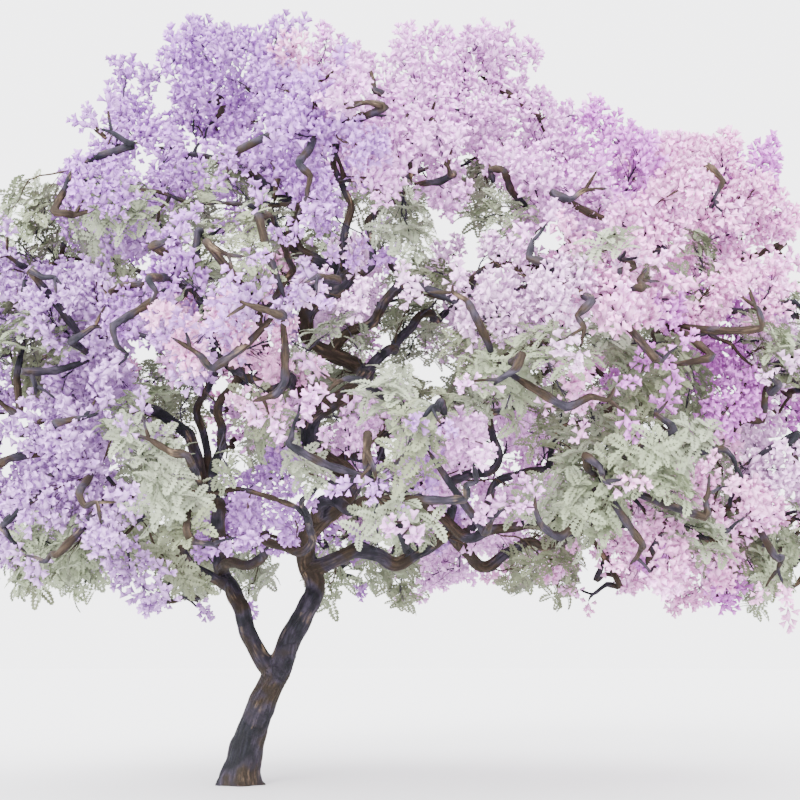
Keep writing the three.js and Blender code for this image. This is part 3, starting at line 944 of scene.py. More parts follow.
def clothe_boughs(boughs, masses):
    """Short sprays round each bough and along it, where there is nothing of the masses."""
    middles = [middle_of(spray) for mass in masses for spray in mass.sprays]
    for index, bough in enumerate(boughs):
        draw = seeded(SEEDS.along + index)
        turn = math.tau * draw()
        for share in np.arange(ALONG.first, ALONG.last, ALONG.apart / bough.line.length):
            turn += GOLDEN_TURN
            along = bough.line.way_at(share)
            way = unit(square_to(along, turn) + along * ALONG.ahead + UP * ALONG.rise)
            base = bough.line.at(share) + way * bough_radius(bough, share) * ALONG.sunk
            length = ALONG.length * mix(*ALONG.spread, draw())
            spray = new_spray(base, way, length, BLOSSOM_SPRAY)
            middle = middle_of(spray)
            if min(distances(middles, middle)) > ALONG.clear:
                middles.append(middle)
                bough.carried[0].sprays.append(spray)


def through(knots, each):
    """A crooked path through knots, with some stops on each stretch between them."""
    ends = np.concatenate([[2 * knots[0] - knots[1]], knots, [2 * knots[-1] - knots[-2]]])
    s = np.linspace(0, 1, each, endpoint=False)[:, None]
    stretches = []
    for a, b, c, d in zip(ends, ends[1:], ends[2:], ends[3:]):
        curve = (c - a) * s + (2 * a - 5 * b + 4 * c - d) * s**2 + (3 * b - a - 3 * c + d) * s**3
        stretches.append(mix(mix(b, c, s), b + 0.5 * curve, ROUNDING))
    return np.concatenate([*stretches, knots[-1:]])


def backed(run, masses):
    """Whether masses stand before or behind all of a run, as painted, and not only the sky."""
    across, high = (row[:, None] for row in as_painted(run))
    middles = np.array([mass.centre for mass in masses])
    sizes = np.array([mass.radii for mass in masses]) * SPUR.backed
    x, z = as_painted(middles)
    return np.all(np.any(np.hypot((across - x) / sizes[:, 0], (high - z) / sizes[:, 2]) < 1, axis=1))


def spur_run(mass, way, along, draw):
    """A spur's crooked knots over its mass's shell, as far as they keep to its space."""
    run = []
    for i in range(SPUR.knots):
        angle = math.radians(mix(SPUR.before, SPUR.after, i / (SPUR.knots - 1)))
        out = way * math.cos(angle) + along * math.sin(angle)
        run.append(mass.centre + out * mass.radii * SPUR.shell + scattered(SPUR.jitter, draw))
    inside = [in_space(knot[None], mass) for knot in run]
    return np.array(run[: inside.index(False)] if False in inside else run)


def offshoot_of(fork, ahead, aside, out):
    """A short crooked branch that leaves a spur at its fork."""
    splay = math.radians(OFFSHOOT.splay)
    reach = OFFSHOOT.length * (ahead * math.cos(splay) + aside * math.sin(splay))
    first, last = OFFSHOOT.rises
    knots = (fork, fork + reach * 0.5 + out * first, fork + reach + out * last)
    return through(np.array(knots), OFFSHOOT.stops)


def grow_spurs(mass, masses):
    """Bare crooked branches from a mass's wood to its shell and along it, where it faces out."""
    draw = seeded(SEEDS.spurs + mass.seed)
    mass.spurs = []
    wood = wood_of(mass, *SPUR.wood)
    for way in spread_ways(SPUR_WAYS[mass.tier], draw):
        place = mass.centre + way * mass.radii * SPUR.shell
        along = square_to(way, math.tau * draw())
        faces_out = way @ unit(place - CROWN_MIDDLE) > SPUR.outward
        if not faces_out or within(place[None], OPENINGS)[0] or not in_space(place[None], mass):
            continue
        run = spur_run(mass, way, along, draw)
        if len(run) < SPUR.fewest:
            continue
        base = wood[np.argmin(distances(wood, run[0]))]
        bend = mix(base, run[0], SPUR.bend) + scattered(SPUR.jitter, draw)
        ahead = unit(run[-1] - run[0])
        aside = unit(np.cross(ahead, way)) * (1 if draw() < 0.5 else -1)
        if backed(run, masses):
            spur = SimpleNamespace(
                path=through(np.array([base, bend, *run]), SPUR.stops),
                run=through(run, SPUR.run_stops),
                offshoot=offshoot_of(run[len(run) // 2], ahead, aside, way),
                out=way,
            )
            mass.spurs.append(spur)


def clump_places(count, starts):
    """Evenly spread places on a spray's surface: along it, aside, and above its middle plane."""
    k = np.arange(count)
    u, v = ((k * step + start) % 1 for step, start in zip(EVEN_STEPS, starts))
    v = 2 * v - 1
    along = mix(CLUMP.first, CLUMP.last, u**CLUMP.power)
    brim = np.minimum(along / WIDEST, (1 - along) / (1 - WIDEST)) ** CLUMP.fullness
    ridge = np.minimum(along / RIDGE.along, (1 - along) / (1 - RIDGE.along)) ** CLUMP.fullness
    height = RIDGE.brim * brim * np.abs(v) + RIDGE.height * ridge * (1 - v**2)
    aside = 0.5 * BLOSSOM_SPRAY.width * brim * v * CLUMP.width
    return along, aside, height * BLOSSOM_SPRAY.thickness


def in_box(heads):
    """Heads that stand too far beyond the solids' box, drawn in."""
    low, high = (np.array(corner) for corner in CAD_BOX)
    return np.clip(heads, low - HEAD.room, high + HEAD.room)


def spine_of(spray, shares, phases):
    """A spray's spine: it arches and swings both ways from its base to near its tip."""
    across, way, above = spray.frame
    shares = shares[:, None]
    hump = np.sin(math.pi * shares)
    aside, rise = (SPINE.crook * hump * np.sin(SPINE.turns * shares + phase) for phase in phases)
    arch = SPINE.arch * RIDGE.height * BLOSSOM_SPRAY.thickness * hump
    swung = SPINE.reach * shares * way + aside * across + (arch + rise) * above
    return spray.root + spray.length * swung + (spray.base - spray.root) * (1 - shares) ** 2


def sprig_of(mass, spray, count, random):
    """A spray's spine, its shoots, and the heads that they end in."""
    across, way, above = spray.frame
    shares = np.linspace(0, 1, SPINE.stops)
    spine = spine_of(spray, shares, random.uniform(0, math.tau, 2))
    count = max(HEAD.fewest, round(count * (spray.length / SPRAY_LENGTH) ** 2))
    along, aside, height = clump_places(count, random.uniform(0, 1, 2))
    reached = along[:, None] * way + aside[:, None] * across + height[:, None] * above
    heads = in_box(spray.root + spray.length * reached)
    hides = covers_spur(heads, mass) | covers_bough(heads) | near_bough(heads)
    kept = ~(hides | within(heads, OPENINGS))
    if np.count_nonzero(kept) < HEAD.least_kept * count:
        return None
    along, aside, heads = along[kept], aside[kept], heads[kept]
    leaves = along / SPINE.reach - SHOOT.lead - SHOOT.lead_aside * np.abs(aside)
    leaves = np.clip(leaves, SHOOT.first, SHOOT.last)
    starts = np.stack([np.interp(leaves, shares, spine[:, i]) for i in range(3)], axis=1)
    reach = np.linalg.norm(heads - starts, axis=1, keepdims=True)
    bend = SHOOT.ahead * way - SHOOT.droop * above + random.normal(0, SHOOT.scatter, heads.shape)
    middles = mix(starts, heads, 0.5) + bend * reach
    ways = (heads - middles) / reach + HEAD.above * above + HEAD.up * UP
    ways = units(ways + random.normal(0, HEAD.scatter, heads.shape))
    return SimpleNamespace(spine=spine, starts=starts, middles=middles, heads=heads, ways=ways)


def covers_spur(heads, mass):
    """Whether each head lies over the bare run of one of its mass's spurs."""
    covered = np.zeros(len(heads), bool)
    for spur in mass.spurs:
        out = units(spur.run - mass.centre)
        rel = heads[:, None] - spur.run[None]
        far = np.sum(rel * out, axis=2)
        aside = np.linalg.norm(rel - far[..., None] * out, axis=2)
        covered |= np.any((far > -SPUR.clear / 2) & (aside < SPUR.clear), axis=1)
    return covered


@functools.cache
def bough_marks():
    """Places along every bough with the radius there."""
    places, radii = [], []
    for bough in grown().boughs:
        shares = np.linspace(0, 1, round(bough.line.length / MARK_STEP))
        places.append(bough.line.at(shares))
        radii.append([bough_radius(bough, share) for share in shares])
    return np.concatenate(places), np.concatenate(radii)


def covers_bough(heads):
    """Whether each head would hide a bough from where the photograph's painter stood."""
    stage = bpy.context.scene.jacaranda_stage
    viewer = np.array((stage.camera_aside, -stage.camera_back, stage.camera_height))
    places, radii = bough_marks()
    far = np.linalg.norm(places - viewer, axis=1)
    sight = (places - viewer) / far[:, None]
    reach = (heads - viewer) @ sight.T
    aside = np.sqrt(np.maximum(np.sum((heads - viewer) ** 2, axis=1)[:, None] - reach**2, 0))
    return np.any((reach < far) & (aside < radii * IN_FRONT.share + IN_FRONT.apart), axis=1)


def as_painted(places):
    """How far across and how high places stand against the trunk, from where the painter stood."""
    stage = bpy.context.scene.jacaranda_stage
    nearer = stage.camera_back / (places[:, 1] + stage.camera_back)
    across = stage.camera_aside + (places[:, 0] - stage.camera_aside) * nearer
    return across, stage.camera_height + (places[:, 2] - stage.camera_height) * nearer


def within(places, rows, more=0):
    """Whether each place lies in one of these rounds of the painting."""
    across, high = as_painted(places)
    return np.any([np.hypot(across - x, high - z) < reach + more for x, z, reach in rows], axis=0)


def near_bough(heads):
    """Whether each head would grow into a bough."""
    places, radii = bough_marks()
    apart = np.linalg.norm(heads[:, None] - places[None], axis=2)
    return np.any(apart < radii + PANICLE_SINK / 2, axis=1)


def tint_of(place, random):
    """The blossom tint of a spray, by its place in the crown as painted."""
    across, high = (float(at[0]) + random.normal(0, TINT_SCATTER) for at in as_painted(place[None]))
    return min(TINT_PLACES, key=lambda row: math.hypot(across - row[1], high - row[2]) / row[3])[0]


def leaf_chance(spray):
    """A spray's chance of leaves: high where the painting shows them, and none above them."""
    middle = middle_of(spray)
    if within(middle[None], LEAF_PATCHES, LEAFY.more)[0]:
        return LEAFY.inside
    if middle[2] > LEAFY.height:
        return 0
    return LEAFY.between if spray.shape is LEAF_SPRAY else LEAFY.outside


@functools.cache
def sprigs():
    """Each spray's sprig, by tier and kind. A spray that would be nearly bare is left out."""
    settings = bpy.context.scene.jacaranda_growth
    counts = {"blossom": settings.panicles, "leaf": settings.leaf_heads}
    found = {tier: {"blossom": [], "leaf": []} for tier in TIERS}
    for mass in grown().masses:
        for i, spray in enumerate(mass.sprays):
            random = np.random.default_rng((mass.seed, i))
            kind = "leaf" if random.uniform() < leaf_chance(spray) else "blossom"
            sprig = sprig_of(mass, spray, counts[kind], random)
            if sprig:
                sprig.tint = tint_of(spray.root + spray.frame[1] * spray.length / 2, random)
                sprig.random = random
                found[mass.tier][kind].append(sprig)
    return found


def tufts_of(mass):
    """Panicles at the ends of a mass's bare branches, and on their offshoots."""
    random = np.random.default_rng((mass.seed, SEEDS.spurs))
    tufts = []
    for spur in mass.spurs:
        paths = (spur.offshoot, spur.path)
        ends = np.array([path[-1] for path in paths])
        ways = units(ends - [path[-2] for path in paths])
        ways = units(ways + TUFT.out * spur.out + random.normal(0, TUFT.scatter, ways.shape))
        heads = in_box(ends + ways * PANICLE_SINK)
        tint = tint_of(spur.path[-1], random)
        tufts.append(SimpleNamespace(heads=heads, ways=ways, tint=tint, random=random))
    return tufts


def mesh_object(name, points, faces, indices, materials, smooth=True):
    """One mesh object from arrays of points, triangles and each triangle's material."""
    mesh = bpy.data.meshes.new(name)
    mesh.vertices.add(len(points))
    mesh.vertices.foreach_set("co", np.asarray(points, np.float32).ravel())
    mesh.loops.add(faces.size)
    mesh.loops.foreach_set("vertex_index", np.asarray(faces, np.int32).ravel())
    mesh.polygons.add(len(faces))
    mesh.polygons.foreach_set("loop_start", np.arange(0, faces.size, 3, dtype=np.int32))
    mesh.polygons.foreach_set("material_index", np.asarray(indices, np.int32))
    mesh.polygons.foreach_set("use_smooth", np.full(len(faces), smooth))
    for material in materials:
        mesh.materials.append(material)
    mesh.update(calc_edges=True)
    return linked(name, mesh)


def linked(name, data):
    """A new object in the scene with the data given."""
    piece = bpy.data.objects.new(name, data)
    bpy.context.scene.collection.objects.link(piece)
    return piece


class Parts:
    """Points and triangles that are gathered to be joined into one mesh."""

    def __init__(self):
        self.points, self.faces, self.indices, self.size = [], [], [], 0

    def add(self, arrays, index):
        points, faces = arrays
        self.points.append(points)
        self.faces.append(faces + self.size)
        self.indices.append(np.broadcast_to(index, len(faces)))
        self.size += len(points)

    def joined(self, name, materials, smooth=True):
        points, faces = np.concatenate(self.points), np.concatenate(self.faces)
        return mesh_object(name, points, faces, np.concatenate(self.indices), materials, smooth)


def arrays_of(bm):
    """A bmesh's points and triangles as arrays."""
    bmesh.ops.triangulate(bm, faces=bm.faces)
    points = np.array([v.co for v in bm.verts])
    faces = np.array([[v.index for v in f.verts] for f in bm.faces])
    bm.free()
    return points, faces


def copies(shape, frames, places, sizes):
    """A shape's copies, each turned to its own frame, sized and placed."""
    points, faces = shape
    placed = np.einsum("pj,njk->npk", points, frames) * sizes[:, None, None] + places[:, None]
    offsets = (np.arange(len(places)) * len(points))[:, None, None]
    return placed.reshape(-1, 3), (faces[None] + offsets).reshape(-1, 3)


def masses_in(tier):
    return [mass for mass in grown().masses if mass.tier == tier]


def hand_over(piece, nodes):
    """A finished piece rides on the tree and stands for its solids, which are hidden."""
    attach(piece, "root")
    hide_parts(*nodes)


def feed(tree, node, inputs):
    """Links a node's inputs to the sockets given, and sets the others to the values given."""
    for name, value in inputs.items():
        if isinstance(value, bpy.types.NodeSocket):
            tree.links.new(value, node.inputs[name])
        else:
            node.inputs[name].default_value = value


def add_node(tree, kind, inputs=None, **values):
    """A new node with its own values set and its inputs fed."""
    node = tree.nodes.new(kind)
    for name, value in values.items():
        setattr(node, name, value)
    feed(tree, node, inputs or {})
    return node


def noise_at(tree, vector, scale, detail):
    inputs = {"Vector": vector, "Scale": scale, "Detail": detail}
    return add_node(tree, "ShaderNodeTexNoise", inputs).outputs["Fac"]


def ranged(tree, value, low, high, first=0, last=1):
    """A value of one range, laid over another and kept to it."""
    inputs = {"Value": value, "From Min": low, "From Max": high, "To Min": first, "To Max": last}
    return add_node(tree, "ShaderNodeMapRange", inputs).outputs["Result"]


def worked_out(tree, operation, *values):
    """What a maths node makes of its values."""
    node = add_node(tree, "ShaderNodeMath", dict(enumerate(values)), operation=operation)
    return node.outputs["Value"]


def mixed(tree, blend_type, share, first, second):
    """A share of one colour blended over another."""
    inputs = {"Factor": share, "A": first, "B": second}
    node = add_node(tree, "ShaderNodeMix", inputs, data_type="RGBA", blend_type=blend_type)
    return node.outputs["Result"]


def new_material(name):
    material = bpy.data.materials.new(name)
    material.use_nodes = True
    return material, material.node_tree


@functools.cache
def grain_group():
    """Fine grain: a roughness between two values, and a height for a bump."""
    group = bpy.data.node_groups.new("Fine grain", "ShaderNodeTree")
    group.interface.new_socket("Vector", in_out="INPUT", socket_type="NodeSocketVector")
    for name in ("Scale", "Smoothest", "Roughest"):
        group.interface.new_socket(name, in_out="INPUT", socket_type="NodeSocketFloat")
    for name in ("Roughness", "Height"):
        group.interface.new_socket(name, in_out="OUTPUT", socket_type="NodeSocketFloat")
    given = add_node(group, "NodeGroupInput").outputs
    grain = noise_at(group, given["Vector"], given["Scale"], GRAIN.detail)
    spread = ranged(group, grain, *GRAIN.seen, given["Smoothest"], given["Roughest"])
    add_node(group, "NodeGroupOutput", {"Roughness": spread, "Height": grain})
    return group


def add_finish(tree, place, colour, finish, height=None):
    """Feeds a material's shader: a colour, fine grain in its roughness, and a bump from the height
    given or from the grain."""
    smoothest, roughest = finish.rough
    grain = add_node(
        tree,
        "ShaderNodeGroup",
        {"Vector": place, "Scale": finish.grain, "Smoothest": smoothest, "Roughest": roughest},
        node_tree=grain_group(),
    ).outputs
    height = grain["Height"] if height is None else height
    raised = add_node(
        tree, "ShaderNodeBump", {"Strength": finish.bump, "Distance": finish.depth, "Height": height}
    )
    surface = {
        "Base Color": colour,
        "Roughness": grain["Roughness"],
        "Specular IOR Level": finish.shine,
        "Normal": raised.outputs["Normal"],
    }
    feed(tree, tree.nodes["Principled BSDF"], surface)


def grained(name, colour, finish):
    """A plain coloured material whose roughness and bump come from fine grain."""
    material, tree = new_material(name)
    place = add_node(tree, "ShaderNodeTexCoord").outputs["Object"]
    add_finish(tree, place, (*colour, 1), finish)
    return material


def patch_ramp(tree, value, colours):
    """The bark's patches of colour, from one to the next as a value rises."""
    node = add_node(tree, "ShaderNodeValToRGB", {"Fac": value})
    stops = node.color_ramp.elements
    stops.new(PATCH_STOPS[1])
    for stop, position, colour in zip(stops, PATCH_STOPS, colours):
        stop.position = position
        stop.color = (*colour, 1)
    return node.outputs["Color"]


def bark_material(settings):
    """Dark bark in patches of blue-black, brown and violet-grey, with a tan painted highlight on its
    ridges, painted shade that darkens its furrows and painted light that brightens its ridges. It is
    darker and bluer towards the foot of the tree."""
    material, tree = new_material("bark")
    place = add_node(tree, "ShaderNodeTexCoord").outputs["Object"]
    ridge = add_node(tree, "ShaderNodeAttribute", attribute_name="ridge").outputs["Fac"]
    on_bark = add_node(tree, "ShaderNodeAttribute", attribute_name="along_bark").outputs["Vector"]
    up = add_node(tree, "ShaderNodeSeparateXYZ", {"Vector": place}).outputs["Z"]
    low = ranged(tree, up, DARK_FOOT.below, DARK_FOOT.above, 1, 0)
    patches = noise_at(tree, place, *BARK_NOISE.patches)
    bluer = worked_out(tree, "MULTIPLY_ADD", low, -DARK_FOOT.bluer, patches)
    plain = patch_ramp(tree, bluer, (settings.blue_black, settings.violet_grey, settings.brown))
    fine = ranged(tree, noise_at(tree, on_bark, *BARK_NOISE.fine), *BARK_RANGE.fine)
    height = worked_out(tree, "MULTIPLY", ridge, fine)
    # Painted highlight: tan laid on the bark's ridges, in patches of noise
    tan = ranged(tree, noise_at(tree, place, *BARK_NOISE.tan), *BARK_RANGE.tan)
    highlight_share = worked_out(tree, "MULTIPLY", tan, height)
    highlighted = mixed(tree, "MIX", highlight_share, plain, (*settings.tan, 1))
    darker = worked_out(tree, "MULTIPLY_ADD", low, -DARK_FOOT.darker, 1)
    # Painted shade darkens the furrows and painted light brightens the ridges; the bark is also darker
    # towards the foot
    shade = worked_out(tree, "MULTIPLY", ranged(tree, height, *BARK_RANGE.shade), darker)
    add_finish(tree, place, mixed(tree, "MULTIPLY", 1, highlighted, shade), BARK_FINISH, height)
    return material


def rings_of(line, count):
    """Even stops along a line: their shares, centres, and two ways across that don't twist."""
    shares = np.linspace(0, 1, count + 1)
    centres, ways = line.at(shares), line.way_at(shares)
    across = np.cross(ways[0], (0.0, 1.0, 0.0))
    sides = []
    for way in ways:
        across = unit(across - way * (across @ way))
        sides.append(across)
    sides = np.array(sides)
    above = np.cross(ways, sides)
    return SimpleNamespace(shares=shares, centres=centres, ways=ways, across=sides, above=above)


def add_limb(bm, rings, radius_at):
    """A closed limb: a cone's uprights are cut into rings, which are then laid along the line."""
    first, stops = len(bm.verts), len(rings.shares) - 1
    made = bmesh.ops.create_cone(bm, cap_ends=True, segments=LIMB.sides, radius1=1, radius2=1, depth=1)
    edges = {edge for vert in made["verts"] for edge in vert.link_edges}
    uprights = [edge for edge in edges if edge.verts[0].co.z != edge.verts[1].co.z]
    bmesh.ops.subdivide_edges(bm, edges=uprights, cuts=stops - 1, use_grid_fill=True)
    bm.verts.ensure_lookup_table()
    for i in range(first, len(bm.verts)):
        x, y, z = bm.verts[i].co
        k = round((z + 0.5) * stops)
        radius = radius_at(rings.shares[k], math.atan2(y, x))
        bm.verts[i].co = rings.centres[k] + radius * (x * rings.across[k] + y * rings.above[k])


def trunk_rings():
    """Level rings from below the ground to the fork."""
    stops = round((TRUNK.height + LIMB.below) / LIMB.ring_step)
    heights = np.linspace(-LIMB.below, TRUNK.height, stops + 1)
    centres = TrunkLine().at_time(np.clip(heights / TRUNK.height, 0, 1))
    centres[:, 2] = heights
    level = np.ones((len(heights), 1))
    return SimpleNamespace(
        shares=heights / TRUNK.height,
        centres=centres,
        ways=level * (0, 0, 1),
        across=level * (1, 0, 0),
        above=level * (0, 1, 0),
    )


def domed_trunk_radius(share, angle):
    """The trunk's radius, drawn in to a dome under its fork."""
    past = max(0, (share - DOME.share) / (1 - DOME.share))
    drawn_in = math.sqrt(max(DOME.least, 1 - past**2))
    return trunk_radius(max(share, 0) * TRUNK.height, angle) * drawn_in


def evaluated_mesh(piece):
    """A piece's mesh with its modifiers applied."""
    graph = bpy.context.evaluated_depsgraph_get()
    return bpy.data.meshes.new_from_object(piece.evaluated_get(graph))


def cut_level(mesh):
    """Takes away what is below the ground, and closes the flat cut."""
    bm = bmesh.new()
    bm.from_mesh(mesh)
    geometry = [*bm.verts, *bm.edges, *bm.faces]
    cut = bmesh.ops.bisect_plane(bm, geom=geometry, plane_co=(0, 0, 0), plane_no=UP, clear_inner=True)
    edges = [e for e in cut["geom_cut"] if isinstance(e, bmesh.types.BMEdge)]
    if edges:
        bmesh.ops.contextual_create(bm, geom=edges)
    bmesh.ops.triangulate(bm, faces=[f for f in bm.faces if len(f.verts) > 4])
    bm.to_mesh(mesh)
    bm.free()


def vectors_of(items, name):
    """The named vectors of a mesh's vertices or normals as an array."""
    values = np.empty(len(items) * 3, np.float32)
    items.foreach_get(name, values)
    return values.reshape(-1, 3)


def nearest_of(centres, points):
    """For each point, which of the centres is nearest."""
    tree = KDTree(len(centres))
    for index, centre in enumerate(centres):
        tree.insert(centre, index)
    tree.balance()
    return np.array([tree.find(point)[1] for point in points.tolist()])


def carve_bark(mesh, limbs, depth):
    """Moves a mesh's points in along furrows that follow each limb, and keeps the ridges' place in
    an attribute for the material."""
    across, above, ways, centres = (
        np.concatenate([getattr(rings, name) for rings, _ in limbs])
        for name in ("across", "above", "ways", "centres")
    )
    counts = [len(rings.shares) for rings, _ in limbs]
    starts = NEXT_LIMB * np.arange(len(limbs))
    along = np.concatenate([np.arange(n) * LIMB.ring_step + start for n, start in zip(counts, starts)])
    points, normals = vectors_of(mesh.vertices, "co"), vectors_of(mesh.vertex_normals, "vector")
    nearest = nearest_of(centres, points)
    offset = points - centres[nearest]
    local = np.stack(
        [
            np.sum(offset * across[nearest], axis=1) / FURROW.across,
            np.sum(offset * above[nearest], axis=1) / FURROW.across,
            (along[nearest] + np.sum(offset * ways[nearest], axis=1)) / FURROW.along,
        ],
        axis=1,
    )
    ridges = ridge_at(local)
    lumps = np.array([noise.noise(p) for p in (points / LUMP.size).tolist()])
    girth = np.repeat([girth for _, girth in limbs], counts)[nearest]
    deep = np.minimum(FURROW.most, FURROW.share * girth) * depth
    moves = deep * (ridges - 1) + lumps * LUMP.share * girth
    moves *= smooth_steps(np.clip(points[:, 2] / LEVEL_FADE, 0, 1))
    mesh.vertices.foreach_set("co", (points + normals * moves[:, None]).astype(np.float32).ravel())
    keep_bark(mesh, ridges, local * (FURROW.across, FURROW.across, FURROW.along))
    mesh.update()


def make_limbs(name, with_trunk, boughs, voxel, settings, material):
    """One closed piece of bark for these limbs, grown together where they fork."""
    bm = bmesh.new()
    limbs = []
    if with_trunk:
        rings = trunk_rings()
        add_limb(bm, rings, domed_trunk_radius)
        limbs.append((rings, TRUNK.fork_radius))
    for bough in boughs:
        rings = rings_of(bough.line, round(bough.line.length / LIMB.ring_step))
        add_limb(bm, rings, lambda share, _, bough=bough: bough_radius(bough, share))
        limbs.append((rings, bough.girth * mix(1, BOUGH_TAPER, 0.5)))
    rough = bpy.data.meshes.new(name)
    bm.to_mesh(rough)
    bm.free()
    piece = linked(name, rough)
    piece.modifiers.new("Remesh", "REMESH").voxel_size = voxel
    smooth = piece.modifiers.new("Smooth", "SMOOTH")
    smooth.factor, smooth.iterations = 0.5, JOIN_SMOOTHING
    mesh = evaluated_mesh(piece)
    mesh.name = name
    piece.modifiers.clear()
    piece.data = mesh
    bpy.data.meshes.remove(rough)
    if with_trunk:
        cut_level(mesh)
    carve_bark(mesh, limbs, settings.furrow_depth)
    mesh.polygons.foreach_set("use_smooth", np.ones(len(mesh.polygons), bool))
    mesh.materials.clear()
    mesh.materials.append(material)
    nodes = [f"bough_{bough.name}" for bough in boughs]
    hand_over(piece, ["trunk", *nodes] if with_trunk else nodes)


def flower_shape():
    """A trumpet flower of unit length, its neck at the origin and its lobed mouth up +Z."""
    bm = bmesh.new()
    bmesh.ops.create_circle(bm, cap_ends=True, cap_tris=True, segments=2 * FLOWER.lobes, radius=1)
    for vert in bm.verts:
        x, y, _ = vert.co
        if vert.co.length > 0:
            step = round(math.atan2(y, x) * FLOWER.lobes / math.pi)
            reach, height = FLOWER.notch if step % 2 else FLOWER.lobe
            vert.co = (x * reach, y * reach, height)
    return arrays_of(bm)


def panicle_shape(settings, seed):
    """A panicle: flowers round an upright axis from the origin, in metres."""
    random = np.random.default_rng(seed)
    count, tall = settings.flowers, settings.panicle_length
    rise = np.linspace(PANICLE.first, 1, count)
    turns = GOLDEN_TURN * np.arange(count) + random.uniform(0, PANICLE.turn, count)
    tilts = mix(*map(math.radians, PANICLE.tilt), rise) + random.normal(0, PANICLE.tilt_scatter, count)
    outward = np.stack([np.cos(turns), np.sin(turns), np.zeros(count)], axis=1)
    ways = outward * np.sin(tilts)[:, None] + UP * np.cos(tilts)[:, None]
    reach = tall * mix(*PANICLE.width, rise) * random.uniform(*PANICLE.filled, count)
    places = outward * reach[:, None] + UP * (rise * tall)[:, None]
    sizes = settings.flower_length * random.uniform(*FLOWER.spread, count)
    points, faces = copies(flower_shape(), frames_along(ways, turns), places, sizes)
    bm = bmesh.new()
    narrow = Matrix.Translation((0, 0, 0.5 * tall)) @ Matrix.Diagonal((*PANICLE.bud_size, 1))
    bmesh.ops.create_uvsphere(bm, u_segments=4, v_segments=2, radius=tall, matrix=narrow)
    buds, bud_faces = arrays_of(bm)
    return np.concatenate([points, buds]), np.concatenate([faces, bud_faces + len(points)])


def frond_shape(settings, seed):
    """A frond of unit length along +Y: a midrib with pairs of leaflets, arched down to its tip."""
    random = np.random.default_rng(seed)
    bm = bmesh.new()
    midrib = Matrix.Translation((0, 0.5, 0)) @ Matrix.Diagonal((FROND.midrib, 1, 1, 1))
    bmesh.ops.create_grid(bm, x_segments=1, y_segments=2, size=0.5, matrix=midrib)
    wide, long = FROND.leaflet
    pairs = settings.leaflet_pairs
    for share in (np.arange(pairs) + 1) / (pairs + 1):
        fullness = math.sin(math.pi * share**FROND.fullest) ** FROND.taper
        size = long * fullness * random.uniform(*FROND.spread)
        for side in (-1, 1):
            splay = math.radians(mix(*FROND.splay, share) + random.normal(0, FROND.splay_scatter))
            leaflet = (
                Matrix.Translation((0, share, 0))
                @ Matrix.Rotation(-side * splay, 4, "Z")
                @ Matrix.Translation((0, size / 2, 0))
                @ Matrix.Diagonal((wide, size, 1, 1))
            )
            bmesh.ops.create_circle(bm, segments=4, cap_ends=True, radius=0.5, matrix=leaflet)
    for vert in bm.verts:
        x, y, _ = vert.co
        vert.co = (x, y * (1 - FROND.drawn_in * y), FROND.cup * abs(x) - FROND.arch * y**2)
    return arrays_of(bm)


def barked_tube(path, radii, sides):
    """A branch that swells and narrows along its path, with furrows: its points and triangles,
    and each point's ridge and place on its bark. The radii given are evenly spaced along it."""
    reached = np.concatenate([[0], np.cumsum(np.linalg.norm(np.diff(path, axis=0), axis=1))])
    swell = 1 + KNOTS.size * np.sin(math.tau * reached / KNOTS.apart + KNOTS.shift * path[0, 0])
    thick = np.interp(reached / reached[-1], np.linspace(0, 1, len(radii)), radii) * swell
    points, faces = closed_tubes(path[None], thick[None], sides)
    angles = round_angles(sides)
    ring = np.stack([np.cos(angles), np.sin(angles), np.zeros(sides)], axis=1)
    local = ring[None] * thick[1:-1, None, None] + UP * reached[1:-1, None, None]
    local = np.concatenate([[UP * reached[0]], local.reshape(-1, 3), [UP * reached[-1]]]) + path[0]
    sizes = (BRANCH_FURROW.across, BRANCH_FURROW.across, BRANCH_FURROW.along)
    ridges = ridge_at(local / sizes)
    centres = np.concatenate([path[:1], np.repeat(path[1:-1], sides, axis=0), path[-1:]])
    girths = np.concatenate([[0], np.repeat(thick[1:-1], sides), [0]])
    moves = np.minimum(BRANCH_FURROW.depth, BRANCH_FURROW.share * girths) * (ridges - 1)
    outward = (points - centres) / np.maximum(girths, 1e-6)[:, None]
    return points + outward * moves[:, None], faces, ridges, local


def ridge_at(places):
    """1 on a ridge of bark and 0 in the furrows, which lie where noise crosses 0."""
    values = np.array([noise.noise(place) for place in places.tolist()])
    return 1 - np.exp(-((values / FURROW.width) ** 2))


def keep_bark(mesh, ridges, local):
    """Keeps each point's ridge, and its place across and along its limb, for the material."""
    mesh.attributes.new("ridge", "FLOAT", "POINT").data.foreach_set("value", ridges.astype(np.float32))
    along = (local * (1, 1, FINE_STRETCH)).astype(np.float32)
    mesh.attributes.new("along_bark", "FLOAT_VECTOR", "POINT").data.foreach_set("vector", along.ravel())


